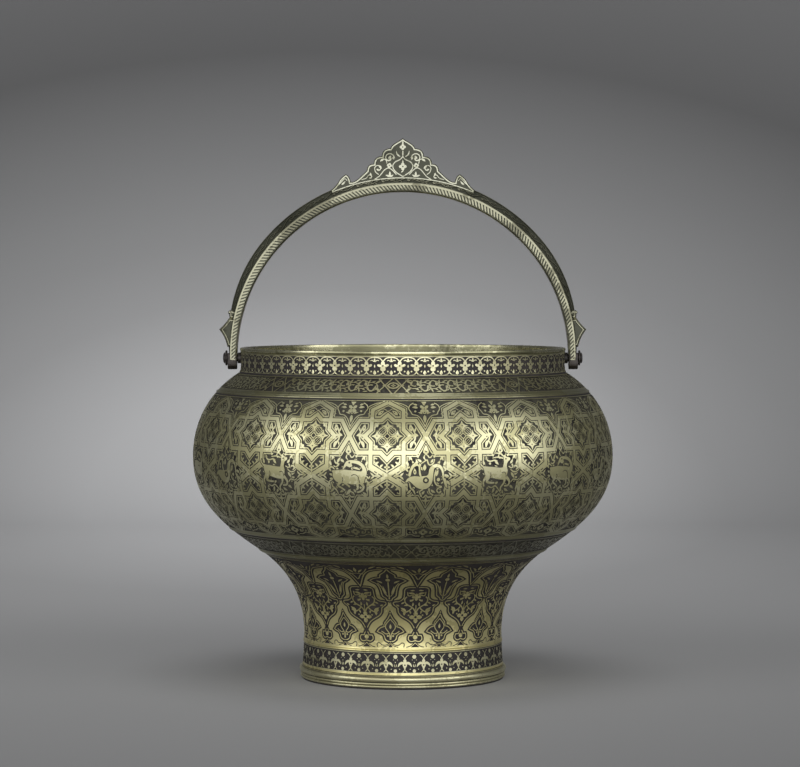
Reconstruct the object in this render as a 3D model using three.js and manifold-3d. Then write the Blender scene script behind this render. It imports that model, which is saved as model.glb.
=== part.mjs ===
// A bath pail of cast brass: a round-bellied bowl on a flared hollow foot, with a bail that swings on two iron pins.
// Millimetres, +Z up. The origin is on the axis, in the plane that the foot stands on.
import * as THREE from "three";
import { mergeVertices } from "three/addons/utils/BufferGeometryUtils.js";
import Module from "manifold-3d";

const wasm = await Module();
wasm.setup();

// Clearances and walls
const SEAT_GAP = 0.3; // between two pieces that touch
const BOWL_WALL = 2.0;
const FLOOR_WALL = 2.2;
const PEDESTAL_WALL = 2.0;

// Heights and radii of the body, from the foot up
const RING_HEIGHT = 6.6;
const RING_WIDTH = 5.4; // across the foot ring, inside to outside
const RING_SPREAD = 2.3; // how far the lowest moulding stands out past the waist
const WAIST_RADIUS = 49.4;
const WAIST_HEIGHT = 22.0;
const WAIST_FLARE = 1.1; // how far the foot widens again from the waist to the ring
const SEAM_RADIUS = 73.3; // where bowl and pedestal are soldered together
const SEAM_HEIGHT = 65.65;
const SEAM_SLOPE = 33.93; // degrees from level, the same on both sides of the seam
const BELLY_RADIUS = 104.75;
const BELLY_HEIGHT = 111.1;
const NECK_RADIUS = 80.8;
const NECK_HEIGHT = 11.6;
const NECK_FILLET = 1.6; // how far the shoulder stands out past the neck where they meet
const SHOULDER_SLOPE = 32.7;
const RIM_HEIGHT = 164.8;
const DISH_DEPTH = 15.0; // of the bowl's round floor, below the seam

// How strongly each curve holds its direction, as lengths along its end tangents
const WAIST_PULL = 20.7;
const SEAM_PULL_DOWN = 17.6;
const SEAM_PULL_UP = 21.9;
const BELLY_PULL_DOWN = 21.5;
const BELLY_PULL_UP = 15.9;
const SHOULDER_PULL = 17.9;

// Turned lines and lips
const LIP_HEIGHT = 1.7;
const LIP_PROUD = 0.4;
const LIP_EDGE = 0.45;
const LINE_PROUD = 0.35;
const LINE_EDGE = 0.25;
const NECK_GROOVE = { height: 0.9, depth: 0.4 };
const SHOULDER_LINE = { below: 8.3, height: 0.9 }; // measured down from the foot of the neck
const UNDER_LINE = { above: 8.9, height: 1.3 }; // measured up from the seam
const COLLAR_LINE = { below: 0.5, height: 1.7 }; // measured down from the seam
const FOOT_LINE = { below: 2.9, height: 1.0 }; // measured down from the waist

// The bail: a half circle of ridged section about the pivots, whose arms thin down to an eye
const PIVOT_DROP = 5.2; // from the rim down to the pivots
const ARM_GAP = 1.9; // from the neck to the inner face of the bail
const BOW_DEPTH = 9.0;
const BOW_FLAT = 4.3;
const BOW_RIDGE = 4.0;
const ARM_FLAT = 3.3;
const ARM_RIDGE = 0.5;
const BOW_CHAMFER = 0.7;
const TAPER_ANGLE = 40; // from the eye to where the bow has its full section
const EYE_THICKNESS = 4.7;
const EYE_DROP = 2.1; // from the pivot down to the centre of the rounded end
const EYE_RISE = 3.0;

// Pins, bosses and washers
const PIN_RADIUS = 1.8;
const PIN_HEAD_RADIUS = 2.7;
const PIN_HEAD_HEIGHT = 0.9;
const LUG_RADIUS = 2.7;
const WASHER_RADIUS = 3.8;
const WASHER_THICKNESS = 0.9;

// The crest on top of the bow
const CREST_RISE = 18.5; // above the ridge
const CREST_THICKNESS = 3.0;
const CREST_LOBES = 4;
const CREST_TIP = { width: 5.5, drop: 4.5 };
const CREST_STEP = { width: 4.2, drop: 4.05 };
const CREST_HALF_WIDTH = 26.0;
const HORN_REACH = 10.0; // from the crest's end to the horn's end
const HORN_TIP = { out: 2.6, rise: 4.5 };
const EDGE_BEVEL = 0.4;

// The leaf-shaped spurs on the arms, with heights above the pivot
const SPUR_REACH = 4.7; // past the arm's ridge
const SPUR_LOW = 5.6;
const SPUR_TIP = 14.3;
const SPUR_NECK = 19.8;
const SPUR_TOP = 23.6;
const KNOB_REACH = 1.1;
const SPUR_THICKNESS = 6.0;
const SPUR_BEVEL = 1.3;

// Facets
const TURNS = 56;
const CURVE_STEPS = 8;
const FLOOR_STEPS = 5;
const BOW_STEPS = 56;
const PIN_SIDES = 20;

const radians = THREE.MathUtils.degToRad;
const BRASS = { color: 0xa39a66, roughness: 0.38, metalness: 1.0 };
const CREST_BRASS = { color: 0x9a9a80, roughness: 0.42, metalness: 1.0 };
const IRON = { color: 0x2b2724, roughness: 0.65, metalness: 0.8 };

// Solids

// A closed geometry as a solid that can be cut and joined.
function solidOf(geometry) {
  const bare = geometry.index ? geometry.toNonIndexed() : geometry.clone();
  bare.deleteAttribute("normal");
  bare.deleteAttribute("uv");
  const merged = mergeVertices(bare, 1e-4);
  const corners = merged.index.array;
  const triangles = [];
  for (let i = 0; i < corners.length; i += 3) {
    const [a, b, c] = [corners[i], corners[i + 1], corners[i + 2]];
    if (a !== b && b !== c && c !== a) triangles.push(a, b, c);
  }
  return new wasm.Manifold(
    new wasm.Mesh({
      numProp: 3,
      vertProperties: merged.attributes.position.array,
      triVerts: new Uint32Array(triangles),
    }),
  );
}

function geometryOf(solid) {
  const mesh = solid.getMesh();
  const geometry = new THREE.BufferGeometry();
  geometry.setAttribute(
    "position",
    new THREE.BufferAttribute(new Float32Array(mesh.vertProperties), 3),
  );
  geometry.setIndex(new THREE.BufferAttribute(new Uint32Array(mesh.triVerts), 1));
  const faceted = geometry.toNonIndexed();
  faceted.computeVertexNormals();
  return faceted;
}

function meshOf(name, geometry, finish) {
  const mesh = new THREE.Mesh(geometry, new THREE.MeshStandardMaterial(finish));
  mesh.name = name;
  return mesh;
}

// A profile of (radius, height) points turned about the vertical axis.
function turned(profile, sides = TURNS) {
  return new THREE.LatheGeometry(profile, sides).rotateX(Math.PI / 2);
}

// A profile of (radius, distance) points turned about the pivot axis, which runs along X.
function turnedAlongX(profile) {
  const lie = new THREE.Matrix4().makeBasis(
    new THREE.Vector3(0, 0, 1),
    new THREE.Vector3(1, 0, 0),
    new THREE.Vector3(0, 1, 0),
  );
  return new THREE.LatheGeometry(profile, PIN_SIDES).applyMatrix4(lie);
}

// A flat outline drawn in the plane of the bow, given its thickness front to back with beveled edges.
function plate(outline, thickness, bevel) {
  const upright = new THREE.Matrix4().makeBasis(
    new THREE.Vector3(1, 0, 0),
    new THREE.Vector3(0, 0, 1),
    new THREE.Vector3(0, -1, 0),
  );
  const geometry = new THREE.ExtrudeGeometry(outline, {
    depth: thickness - 2 * bevel,
    bevelEnabled: true,
    bevelSize: bevel,
    bevelOffset: -bevel,
    bevelThickness: bevel,
    bevelSegments: 1,
    curveSegments: 4,
  });
  return geometry.translate(0, 0, bevel - thickness / 2).applyMatrix4(upright);
}

// Rings of equal length joined into one closed skin, with a flat cap at each end.
function loft(rings) {
  const sides = rings[0].length;
  const corners = [];
  for (let i = 0; i + 1 < rings.length; i++) {
    for (let k = 0; k < sides; k++) {
      const [a, b] = [rings[i][k], rings[i][(k + 1) % sides]];
      const [c, d] = [rings[i + 1][k], rings[i + 1][(k + 1) % sides]];
      corners.push(a, c, b, b, c, d);
    }
  }
  const [first, last] = [rings[0], rings[rings.length - 1]];
  for (let k = 1; k + 1 < sides; k++) {
    corners.push(first[0], first[k], first[k + 1], last[0], last[k + 1], last[k]);
  }
  return new THREE.BufferGeometry().setFromPoints(corners);
}

// Profiles of the body

const at = (radius, height) => new THREE.Vector2(radius, height);

function radiusAt(profile, height) {
  const above = profile.findIndex((p) => p.y >= height);
  if (above < 0) return profile[profile.length - 1].x;
  if (above === 0) return profile[0].x;
  const [low, high] = [profile[above - 1], profile[above]];
  return THREE.MathUtils.mapLinear(height, low.y, high.y, low.x, high.x);
}

// The same profile moved towards the axis by a wall's thickness, square to its slope.
function insideOf(profile, wall) {
  return profile.map((point, i) => {
    const before = profile[Math.max(i - 1, 0)];
    const after = profile[Math.min(i + 1, profile.length - 1)];
    const along = after.clone().sub(before).normalize();
    return at(point.x - along.y * wall, point.y + along.x * wall);
  });
}

// A rising profile with a turned line between two heights, raised where proud is positive and sunk where it isn't.
function withLine(profile, low, high, proud) {
  const edge = (height, out) => at(radiusAt(profile, height) + out, height);
  return [
    ...profile.filter((p) => p.y < low),
    edge(low, 0),
    edge(low + LINE_EDGE, proud),
    edge(high - LINE_EDGE, proud),
    edge(high, 0),
    ...profile.filter((p) => p.y > high),
  ];
}

const slopeOf = (degrees) => at(Math.cos(radians(degrees)), Math.sin(radians(degrees)));
const neckFoot = RIM_HEIGHT - NECK_HEIGHT;
const pivotHeight = RIM_HEIGHT - PIVOT_DROP;
const seam = at(SEAM_RADIUS, SEAM_HEIGHT);
const seamSlope = slopeOf(SEAM_SLOPE);

function bellyProfile() {
  const shoulder = at(NECK_RADIUS + NECK_FILLET, neckFoot - NECK_FILLET * 0.75);
  const shoulderSlope = slopeOf(180 - SHOULDER_SLOPE);
  const lower = seam.clone().addScaledVector(seamSlope, SEAM_PULL_UP);
  const upper = shoulder.clone().addScaledVector(shoulderSlope, -SHOULDER_PULL);
  const path = new THREE.Path();
  path.moveTo(seam.x, seam.y);
  path.bezierCurveTo(
    lower.x,
    lower.y,
    BELLY_RADIUS,
    BELLY_HEIGHT - BELLY_PULL_DOWN,
    BELLY_RADIUS,
    BELLY_HEIGHT,
  );
  path.bezierCurveTo(
    BELLY_RADIUS,
    BELLY_HEIGHT + BELLY_PULL_UP,
    upper.x,
    upper.y,
    shoulder.x,
    shoulder.y,
  );
  path.lineTo(NECK_RADIUS, neckFoot + NECK_FILLET / 2);
  path.lineTo(NECK_RADIUS, RIM_HEIGHT - LIP_HEIGHT);
  return path.getPoints(CURVE_STEPS);
}

function pedestalProfile() {
  const upper = seam.clone().addScaledVector(seamSlope, -SEAM_PULL_DOWN);
  const path = new THREE.Path();
  path.moveTo(WAIST_RADIUS + WAIST_FLARE, RING_HEIGHT + SEAT_GAP);
  path.lineTo(WAIST_RADIUS + WAIST_FLARE / 4, (RING_HEIGHT + WAIST_HEIGHT) / 2);
  path.lineTo(WAIST_RADIUS, WAIST_HEIGHT);
  path.bezierCurveTo(
    WAIST_RADIUS,
    WAIST_HEIGHT + WAIST_PULL,
    upper.x,
    upper.y,
    seam.x,
    seam.y,
  );
  return path.getPoints(CURVE_STEPS);
}

const pedestalTop = SEAM_HEIGHT - SEAT_GAP;
const pedestalSkin = pedestalProfile();
const everyOther = (point, i) => i % 2 === 0;
const pedestalInside = insideOf(pedestalSkin, PEDESTAL_WALL).filter(everyOther);

// The bowl's round floor: a cap of a sphere that hangs from the seam inside the pedestal.
const dish = {};
dish.radius = radiusAt(pedestalInside, pedestalTop) - SEAT_GAP;
dish.sphere = (dish.radius ** 2 + DISH_DEPTH ** 2) / (2 * DISH_DEPTH);
dish.centre = SEAM_HEIGHT - DISH_DEPTH + dish.sphere;
dish.height = (sphere, radius) => dish.centre - Math.sqrt(sphere ** 2 - radius ** 2);

function dishPoints(sphere, edge, steps) {
  const points = [];
  for (let i = 0; i <= steps; i++) {
    const radius = (edge * i) / steps;
    points.push(at(radius, dish.height(sphere, radius)));
  }
  return points;
}

function bowlSolid() {
  const skin = bellyProfile();
  let outside = withLine(skin, neckFoot - NECK_GROOVE.height, neckFoot, -NECK_GROOVE.depth);
  const shoulderLine = neckFoot - SHOULDER_LINE.below;
  outside = withLine(outside, shoulderLine - SHOULDER_LINE.height, shoulderLine, LINE_PROUD);
  const underLine = SEAM_HEIGHT + UNDER_LINE.above;
  outside = withLine(outside, underLine, underLine + UNDER_LINE.height, LINE_PROUD);

  const lipRadius = NECK_RADIUS + LIP_PROUD;
  const bore = NECK_RADIUS - BOWL_WALL;
  const lip = [
    at(lipRadius, RIM_HEIGHT - LIP_HEIGHT + LIP_EDGE),
    at(lipRadius, RIM_HEIGHT - LIP_EDGE),
    at(lipRadius - LIP_EDGE, RIM_HEIGHT),
    at(bore + LIP_EDGE, RIM_HEIGHT),
    at(bore, RIM_HEIGHT - LIP_EDGE),
  ];

  const floorSphere = dish.sphere - FLOOR_WALL;
  const wallInside = insideOf(skin, BOWL_WALL).reverse().filter(everyOther);
  const floorMeets = wallInside.findIndex((p) => p.y < dish.height(floorSphere, p.x));
  const wall = wallInside.slice(0, floorMeets);
  const floor = dishPoints(floorSphere, wall[wall.length - 1].x - BOWL_WALL, FLOOR_STEPS);
  const under = dishPoints(dish.sphere, dish.radius, FLOOR_STEPS);
  return solidOf(turned([...under, ...outside, ...lip, ...wall, ...floor.reverse()]));
}

function pedestalGeometry() {
  let outside = pedestalSkin.filter((p) => p.y < pedestalTop);
  outside.push(at(radiusAt(pedestalSkin, pedestalTop), pedestalTop));
  const collar = pedestalTop - COLLAR_LINE.below;
  outside = withLine(outside, collar - COLLAR_LINE.height, collar, LINE_PROUD);
  const footLine = WAIST_HEIGHT - FOOT_LINE.below;
  outside = withLine(outside, footLine - FOOT_LINE.height, footLine, LINE_PROUD);

  const bottom = outside[0].y;
  const inside = pedestalInside.filter((p) => p.y > bottom && p.y < pedestalTop);
  inside.unshift(at(radiusAt(pedestalInside, bottom), bottom));
  inside.push(at(radiusAt(pedestalInside, pedestalTop), pedestalTop));
  return turned([...outside, ...inside.reverse(), outside[0]]);
}

// The foot ring: a heavy bead over two thin ones, as fractions of the ring's height and spread.
function footRingGeometry() {
  const outer = WAIST_RADIUS + RING_SPREAD;
  const inner = outer - RING_WIDTH;
  const top = WAIST_RADIUS + WAIST_FLARE;
  const beads = [
    { low: 0.08, high: 0.26, out: 0.75 },
    { low: 0.32, high: 0.46, out: 0.7 },
    { low: 0.56, high: 0.9, out: 1.0 },
  ];
  const outside = [at(top, 0)];
  for (const bead of beads) {
    const face = top + (outer - top) * bead.out;
    const [low, high] = [bead.low * RING_HEIGHT, bead.high * RING_HEIGHT];
    const ease = (high - low) / 4;
    outside.push(at(top, low), at(face, low + ease), at(face, high - ease), at(top, high));
  }
  outside.push(at(top, RING_HEIGHT), at(inner, RING_HEIGHT), at(inner, 0), outside[0]);
  return turned(outside);
}

// The bail

const bowInner = NECK_RADIUS + ARM_GAP;
const halfDepth = BOW_DEPTH / 2;

// The section's sizes at an angle from the right-hand eye, in radians: the arms thin down towards both eyes.
function bowSizes(angle) {
  const fromEye = Math.min(angle, Math.PI - angle) / radians(TAPER_ANGLE);
  const full = Math.sin((Math.min(Math.max(fromEye, 0), 1) * Math.PI) / 2);
  const flat = THREE.MathUtils.lerp(ARM_FLAT, BOW_FLAT, full);
  const ridge = THREE.MathUtils.lerp(ARM_RIDGE, BOW_RIDGE, full);
  return { flat: bowInner + flat, ridge: bowInner + flat + ridge };
}

// The bow, larger all round by the clearance that is asked for.
function bowGeometry(clearance) {
  const rings = [];
  for (let i = 0; i <= BOW_STEPS; i++) {
    const angle = (Math.PI * i) / BOW_STEPS;
    const { flat, ridge } = bowSizes(angle);
    const lean = Math.hypot(halfDepth, ridge - flat) / halfDepth;
    const depth = halfDepth + clearance;
    const section = [
      at(bowInner - clearance, BOW_CHAMFER - depth),
      at(bowInner - clearance, depth - BOW_CHAMFER),
      at(bowInner + BOW_CHAMFER - clearance, depth),
      at(flat + clearance, depth),
      at(ridge + clearance * lean, 0),
      at(flat + clearance, -depth),
      at(bowInner + BOW_CHAMFER - clearance, -depth),
    ];
    rings.push(
      section.map(
        (p) => new THREE.Vector3(p.x * Math.cos(angle), p.y, p.x * Math.sin(angle)),
      ),
    );
  }
  return loft(rings);
}

// The rounded end of an arm, with the hole for the pin.
function eyeGeometry() {
  const outline = new THREE.Shape();
  outline.moveTo(halfDepth, EYE_RISE);
  outline.lineTo(-halfDepth, EYE_RISE);
  outline.lineTo(-halfDepth, -EYE_DROP);
  outline.absarc(0, -EYE_DROP, halfDepth, Math.PI, 2 * Math.PI, false);
  const hole = new THREE.Path();
  hole.absarc(0, 0, PIN_RADIUS + SEAT_GAP, 0, 2 * Math.PI, true);
  outline.holes.push(hole);
  const geometry = new THREE.ExtrudeGeometry(outline, {
    depth: EYE_THICKNESS,
    bevelEnabled: false,
    curveSegments: PIN_SIDES,
  });
  const lie = new THREE.Matrix4().makeBasis(
    new THREE.Vector3(0, 1, 0),
    new THREE.Vector3(0, 0, 1),
    new THREE.Vector3(1, 0, 0),
  );
  return geometry.applyMatrix4(lie).translate(bowInner, 0, 0);
}

// A round bar along X, for the holes.
function barSolid(radius, from, to) {
  const profile = [at(0, from), at(radius, from), at(radius, to), at(0, to)];
  return solidOf(turnedAlongX(profile));
}

function bailSolid() {
  const eye = eyeGeometry();
  const reach = bowInner + EYE_THICKNESS + WASHER_RADIUS;
  return solidOf(bowGeometry(0))
    .add(solidOf(eye))
    .add(solidOf(eye.clone().rotateZ(Math.PI)))
    .subtract(barSolid(PIN_RADIUS + SEAT_GAP, -reach, reach));
}

// The crest's outline, from the right-hand horn over the lobes to the left-hand horn.
function crestOutline() {
  const { flat, ridge } = bowSizes(Math.PI / 2);
  const apex = ridge + CREST_RISE;
  const onRidge = (x) => Math.sqrt(ridge ** 2 - x ** 2);
  const hornEnd = CREST_HALF_WIDTH + HORN_REACH;
  const hornTip = at(
    CREST_HALF_WIDTH + HORN_TIP.out,
    onRidge(CREST_HALF_WIDTH + HORN_TIP.out) + HORN_TIP.rise,
  );
  const notch = (i) =>
    at(CREST_TIP.width + i * CREST_STEP.width, apex - CREST_TIP.drop - i * CREST_STEP.drop);
  const last = notch(CREST_LOBES - 1);
  const tail = at(CREST_HALF_WIDTH, onRidge(CREST_HALF_WIDTH) + EDGE_BEVEL);
  const right = new THREE.Path();
  right.moveTo(hornEnd, onRidge(hornEnd));
  right.quadraticCurveTo(
    hornTip.x + HORN_TIP.rise / 2,
    hornTip.y - HORN_TIP.rise / 2,
    hornTip.x,
    hornTip.y,
  );
  right.quadraticCurveTo(hornTip.x - HORN_TIP.out, hornTip.y, tail.x, tail.y);
  right.bezierCurveTo(
    tail.x - CREST_STEP.width,
    tail.y + EDGE_BEVEL,
    last.x + CREST_STEP.width / 2,
    (last.y + tail.y) / 2,
    last.x,
    last.y,
  );
  for (let i = CREST_LOBES - 2; i >= 0; i--) {
    const [low, high] = [notch(i + 1), notch(i)];
    right.quadraticCurveTo(low.x, high.y, high.x, high.y);
  }
  const first = notch(0);
  right.bezierCurveTo(
    first.x * 0.9,
    first.y + CREST_TIP.drop * 0.55,
    first.x * 0.3,
    apex - CREST_TIP.drop * 0.3,
    0,
    apex,
  );
  const half = right.getPoints(4);
  const mirrored = half
    .slice(0, -1)
    .reverse()
    .map((p) => at(-p.x, p.y));
  const under = [];
  const sunk = (flat + ridge) / 2;
  const spread = Math.asin(hornEnd / ridge);
  const steps = 16;
  for (let i = 0; i <= steps; i++) {
    const angle = THREE.MathUtils.lerp(-spread, spread, i / steps);
    under.push(at(sunk * Math.sin(angle), sunk * Math.cos(angle)));
  }
  return new THREE.Shape([...half, ...mirrored, ...under]);
}

// The right-hand spur's outline, from the arm out round the leaf and its knob and back inside the arm.
function spurOutline() {
  const ridgeAt = (height) => {
    const angle = Math.asin(height / bowInner);
    return bowSizes(angle).ridge * Math.cos(angle);
  };
  const sunkAt = (height) => bowInner * Math.cos(Math.asin(height / bowInner)) + ARM_FLAT / 2;
  const tip = ridgeAt(SPUR_TIP) + SPUR_REACH;
  const neck = ridgeAt(SPUR_NECK) + KNOB_REACH / 2;
  const knob = (SPUR_NECK + SPUR_TOP) / 2;
  const shape = new THREE.Shape();
  shape.moveTo(sunkAt(SPUR_LOW), SPUR_LOW);
  shape.lineTo(ridgeAt(SPUR_LOW) + KNOB_REACH / 2, SPUR_LOW);
  shape.quadraticCurveTo(
    ridgeAt(SPUR_TIP) + SPUR_REACH / 3,
    (SPUR_LOW + SPUR_TIP) / 2,
    tip,
    SPUR_TIP,
  );
  shape.quadraticCurveTo(neck + SPUR_REACH / 4, (SPUR_TIP + SPUR_NECK) / 2, neck, SPUR_NECK);
  shape.lineTo(ridgeAt(knob) + KNOB_REACH, knob);
  shape.lineTo(ridgeAt(SPUR_TOP) + KNOB_REACH, SPUR_TOP);
  shape.lineTo(sunkAt(SPUR_TOP), SPUR_TOP);
  return shape;
}

// Pins, lugs and washers of the right-hand side, along X from the neck outwards

const boreRadius = PIN_RADIUS + SEAT_GAP;
const lugEnd = bowInner - SEAT_GAP;
const washerStart = bowInner + EYE_THICKNESS + SEAT_GAP;
const washerEnd = washerStart + WASHER_THICKNESS;
const headStart = washerEnd + SEAT_GAP;

// A flat ring between two places on the pivot axis.
function ringGeometry(radius, from, to) {
  return turnedAlongX([
    at(boreRadius, from),
    at(radius, from),
    at(radius, to),
    at(boreRadius, to),
    at(boreRadius, from),
  ]);
}

// The pin, riveted over inside the neck and domed outside the washer.
function pinGeometry() {
  const inner = Math.sqrt((NECK_RADIUS - BOWL_WALL) ** 2 - PIN_HEAD_RADIUS ** 2) - SEAT_GAP;
  const dome = (height) => [
    at(PIN_HEAD_RADIUS, height * 0.35),
    at(PIN_HEAD_RADIUS * 0.72, height * 0.85),
    at(0, height),
  ];
  const inside = dome(PIN_HEAD_HEIGHT)
    .reverse()
    .map((p) => at(p.x, inner - p.y));
  const outside = dome(PIN_HEAD_HEIGHT).map((p) => at(p.x, headStart + p.y));
  return turnedAlongX([
    ...inside,
    at(PIN_HEAD_RADIUS, inner),
    at(PIN_RADIUS, inner),
    at(PIN_RADIUS, headStart),
    at(PIN_HEAD_RADIUS, headStart),
    ...outside,
  ]);
}

// Assembly

const pail = new THREE.Group();

const neckHoles = barSolid(boreRadius, -NECK_RADIUS * 2, NECK_RADIUS * 2);
const bowl = bowlSolid().subtract(neckHoles.translate([0, 0, pivotHeight]));
pail.add(meshOf("bowl", geometryOf(bowl), BRASS));
pail.add(meshOf("pedestal", pedestalGeometry(), BRASS));
pail.add(meshOf("foot_ring", footRingGeometry(), BRASS));

const bail = new THREE.Group();
bail.position.z = pivotHeight;
pail.add(bail);

const bowClearance = solidOf(bowGeometry(SEAT_GAP));
const crest = solidOf(plate(crestOutline(), CREST_THICKNESS, EDGE_BEVEL)).subtract(bowClearance);
const spur = solidOf(plate(spurOutline(), SPUR_THICKNESS, SPUR_BEVEL)).subtract(bowClearance);
bail.add(meshOf("handle_bow", geometryOf(bailSolid()), BRASS));
bail.add(meshOf("handle_crest", geometryOf(crest), CREST_BRASS));

for (const side of ["right", "left"]) {
  const turn = side === "right" ? 0 : Math.PI;
  const arm = new THREE.Group();
  arm.rotation.z = turn;
  arm.add(meshOf(`${side}_spur`, geometryOf(spur), BRASS));
  bail.add(arm);

  const pivot = new THREE.Group();
  pivot.position.z = pivotHeight;
  pivot.rotation.z = turn;
  pivot.add(meshOf(`${side}_lug`, ringGeometry(LUG_RADIUS, NECK_RADIUS + SEAT_GAP, lugEnd), IRON));
  pivot.add(meshOf(`${side}_pivot_pin`, pinGeometry(), IRON));
  pivot.add(meshOf(`${side}_washer`, ringGeometry(WASHER_RADIUS, washerStart, washerEnd), IRON));
  pail.add(pivot);
}

export default pail;
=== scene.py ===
"""A round-bellied bath pail of engraved brass with a hinged bail, dressed around its CAD frame."""

import logging
from contextlib import contextmanager
from dataclasses import dataclass
from enum import Enum
from functools import cached_property
from math import atan, ceil, cos, hypot, pi, radians, sin, tau
from typing import Any, Iterable, Iterator, Optional, Protocol, Sequence

import bpy
import numpy as np
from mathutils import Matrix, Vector
from mathutils.geometry import delaunay_2d_cdt


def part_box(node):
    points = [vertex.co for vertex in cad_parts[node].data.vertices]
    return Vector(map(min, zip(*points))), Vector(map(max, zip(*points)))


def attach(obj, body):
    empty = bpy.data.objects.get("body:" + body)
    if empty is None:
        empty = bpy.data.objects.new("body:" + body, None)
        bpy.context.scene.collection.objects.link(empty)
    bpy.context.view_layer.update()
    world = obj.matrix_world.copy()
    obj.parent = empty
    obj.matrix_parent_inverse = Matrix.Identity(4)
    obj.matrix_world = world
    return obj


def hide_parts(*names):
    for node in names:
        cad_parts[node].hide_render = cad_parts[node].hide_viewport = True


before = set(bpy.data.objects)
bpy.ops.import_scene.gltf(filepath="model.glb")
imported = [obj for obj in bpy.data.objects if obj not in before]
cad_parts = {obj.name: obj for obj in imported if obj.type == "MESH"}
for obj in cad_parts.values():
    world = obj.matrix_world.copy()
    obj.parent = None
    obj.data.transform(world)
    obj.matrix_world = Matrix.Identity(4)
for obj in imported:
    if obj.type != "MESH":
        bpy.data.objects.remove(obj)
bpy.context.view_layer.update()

Array = np.ndarray
Point = tuple[float, float]
Widths = float | Sequence[float]
Object = bpy.types.Object

MM = 0.001
BAKE_MAP = "OFBake"
FLAT_LABELS = ("across", "up", "depth")
SCRATCH_SCALE = 420.0
SCRATCH_STRETCH = 9.0
PIT_SCALE = 700.0
BUMP_STRENGTH = 0.5
PHOTO_WIDTH = 800.0
PHOTO_HEIGHT = 767.0
FILM_WIDTH = 36.0
CREATURE_MARGIN = 0.7
CHANNEL = -1.0
EYE_SIDES = 32
SEAM_WELD = 4e-6
TURN_WELD = 2e-6
BACK_WELD = 1e-6
TOUCH = 1e-3
BATCH = 500

logging.basicConfig(level=logging.INFO, format="%(message)s")
log = logging.getLogger("pail")


class Body(Enum):
    """The CAD bodies that a piece can move with."""

    PAIL = "body"
    BAIL = "bail"


class Slot(Enum):
    """The record's material slots."""

    ENGRAVED = "engraved_brass"
    PLAIN = "plain_brass"
    BAIL = "bail_brass"
    CREST = "crest_brass"
    IRON = "pivot_iron"


# Finishes


@dataclass
class Graph:
    """The node tree of one material."""

    tree: bpy.types.NodeTree

    def add(self, kind: str, inputs: Optional[dict[str | int, Any]] = None) -> bpy.types.Node:
        """Add a node.

        Args:
            kind: Its type, without the part that the names of all shader nodes share.
            inputs: The value of an input, or the output that is linked to it.

        Returns:
            The new node.
        """
        node = self.tree.nodes.new(f"ShaderNode{kind}")
        self.feed(node, inputs or {})
        return node

    def feed(self, node: bpy.types.Node, inputs: dict[str | int, Any]) -> None:
        """Set or link the inputs of a node.

        Args:
            node: The node.
            inputs: The value of an input, or the output that is linked to it.
        """
        for name, value in inputs.items():
            if isinstance(value, bpy.types.NodeSocket):
                self.tree.links.new(value, node.inputs[name])
            else:
                node.inputs[name].default_value = value

    def noise(
        self, place: bpy.types.NodeSocket, scale: float, detail: float, squeeze: float = 1.0
    ) -> bpy.types.NodeSocket:
        """Add a noise.

        Args:
            place: The coordinates it reads.
            scale: How fine it is.
            detail: How many finer layers it has.
            squeeze: How much finer it is in height.

        Returns:
            The noise's output.
        """
        turn = self.add("Mapping", {"Vector": place, "Scale": (1.0, 1.0, squeeze)})
        node = self.add("TexNoise", {"Vector": turn.outputs["Vector"], "Scale": scale, "Detail": detail})
        return node.outputs["Fac"]


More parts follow.
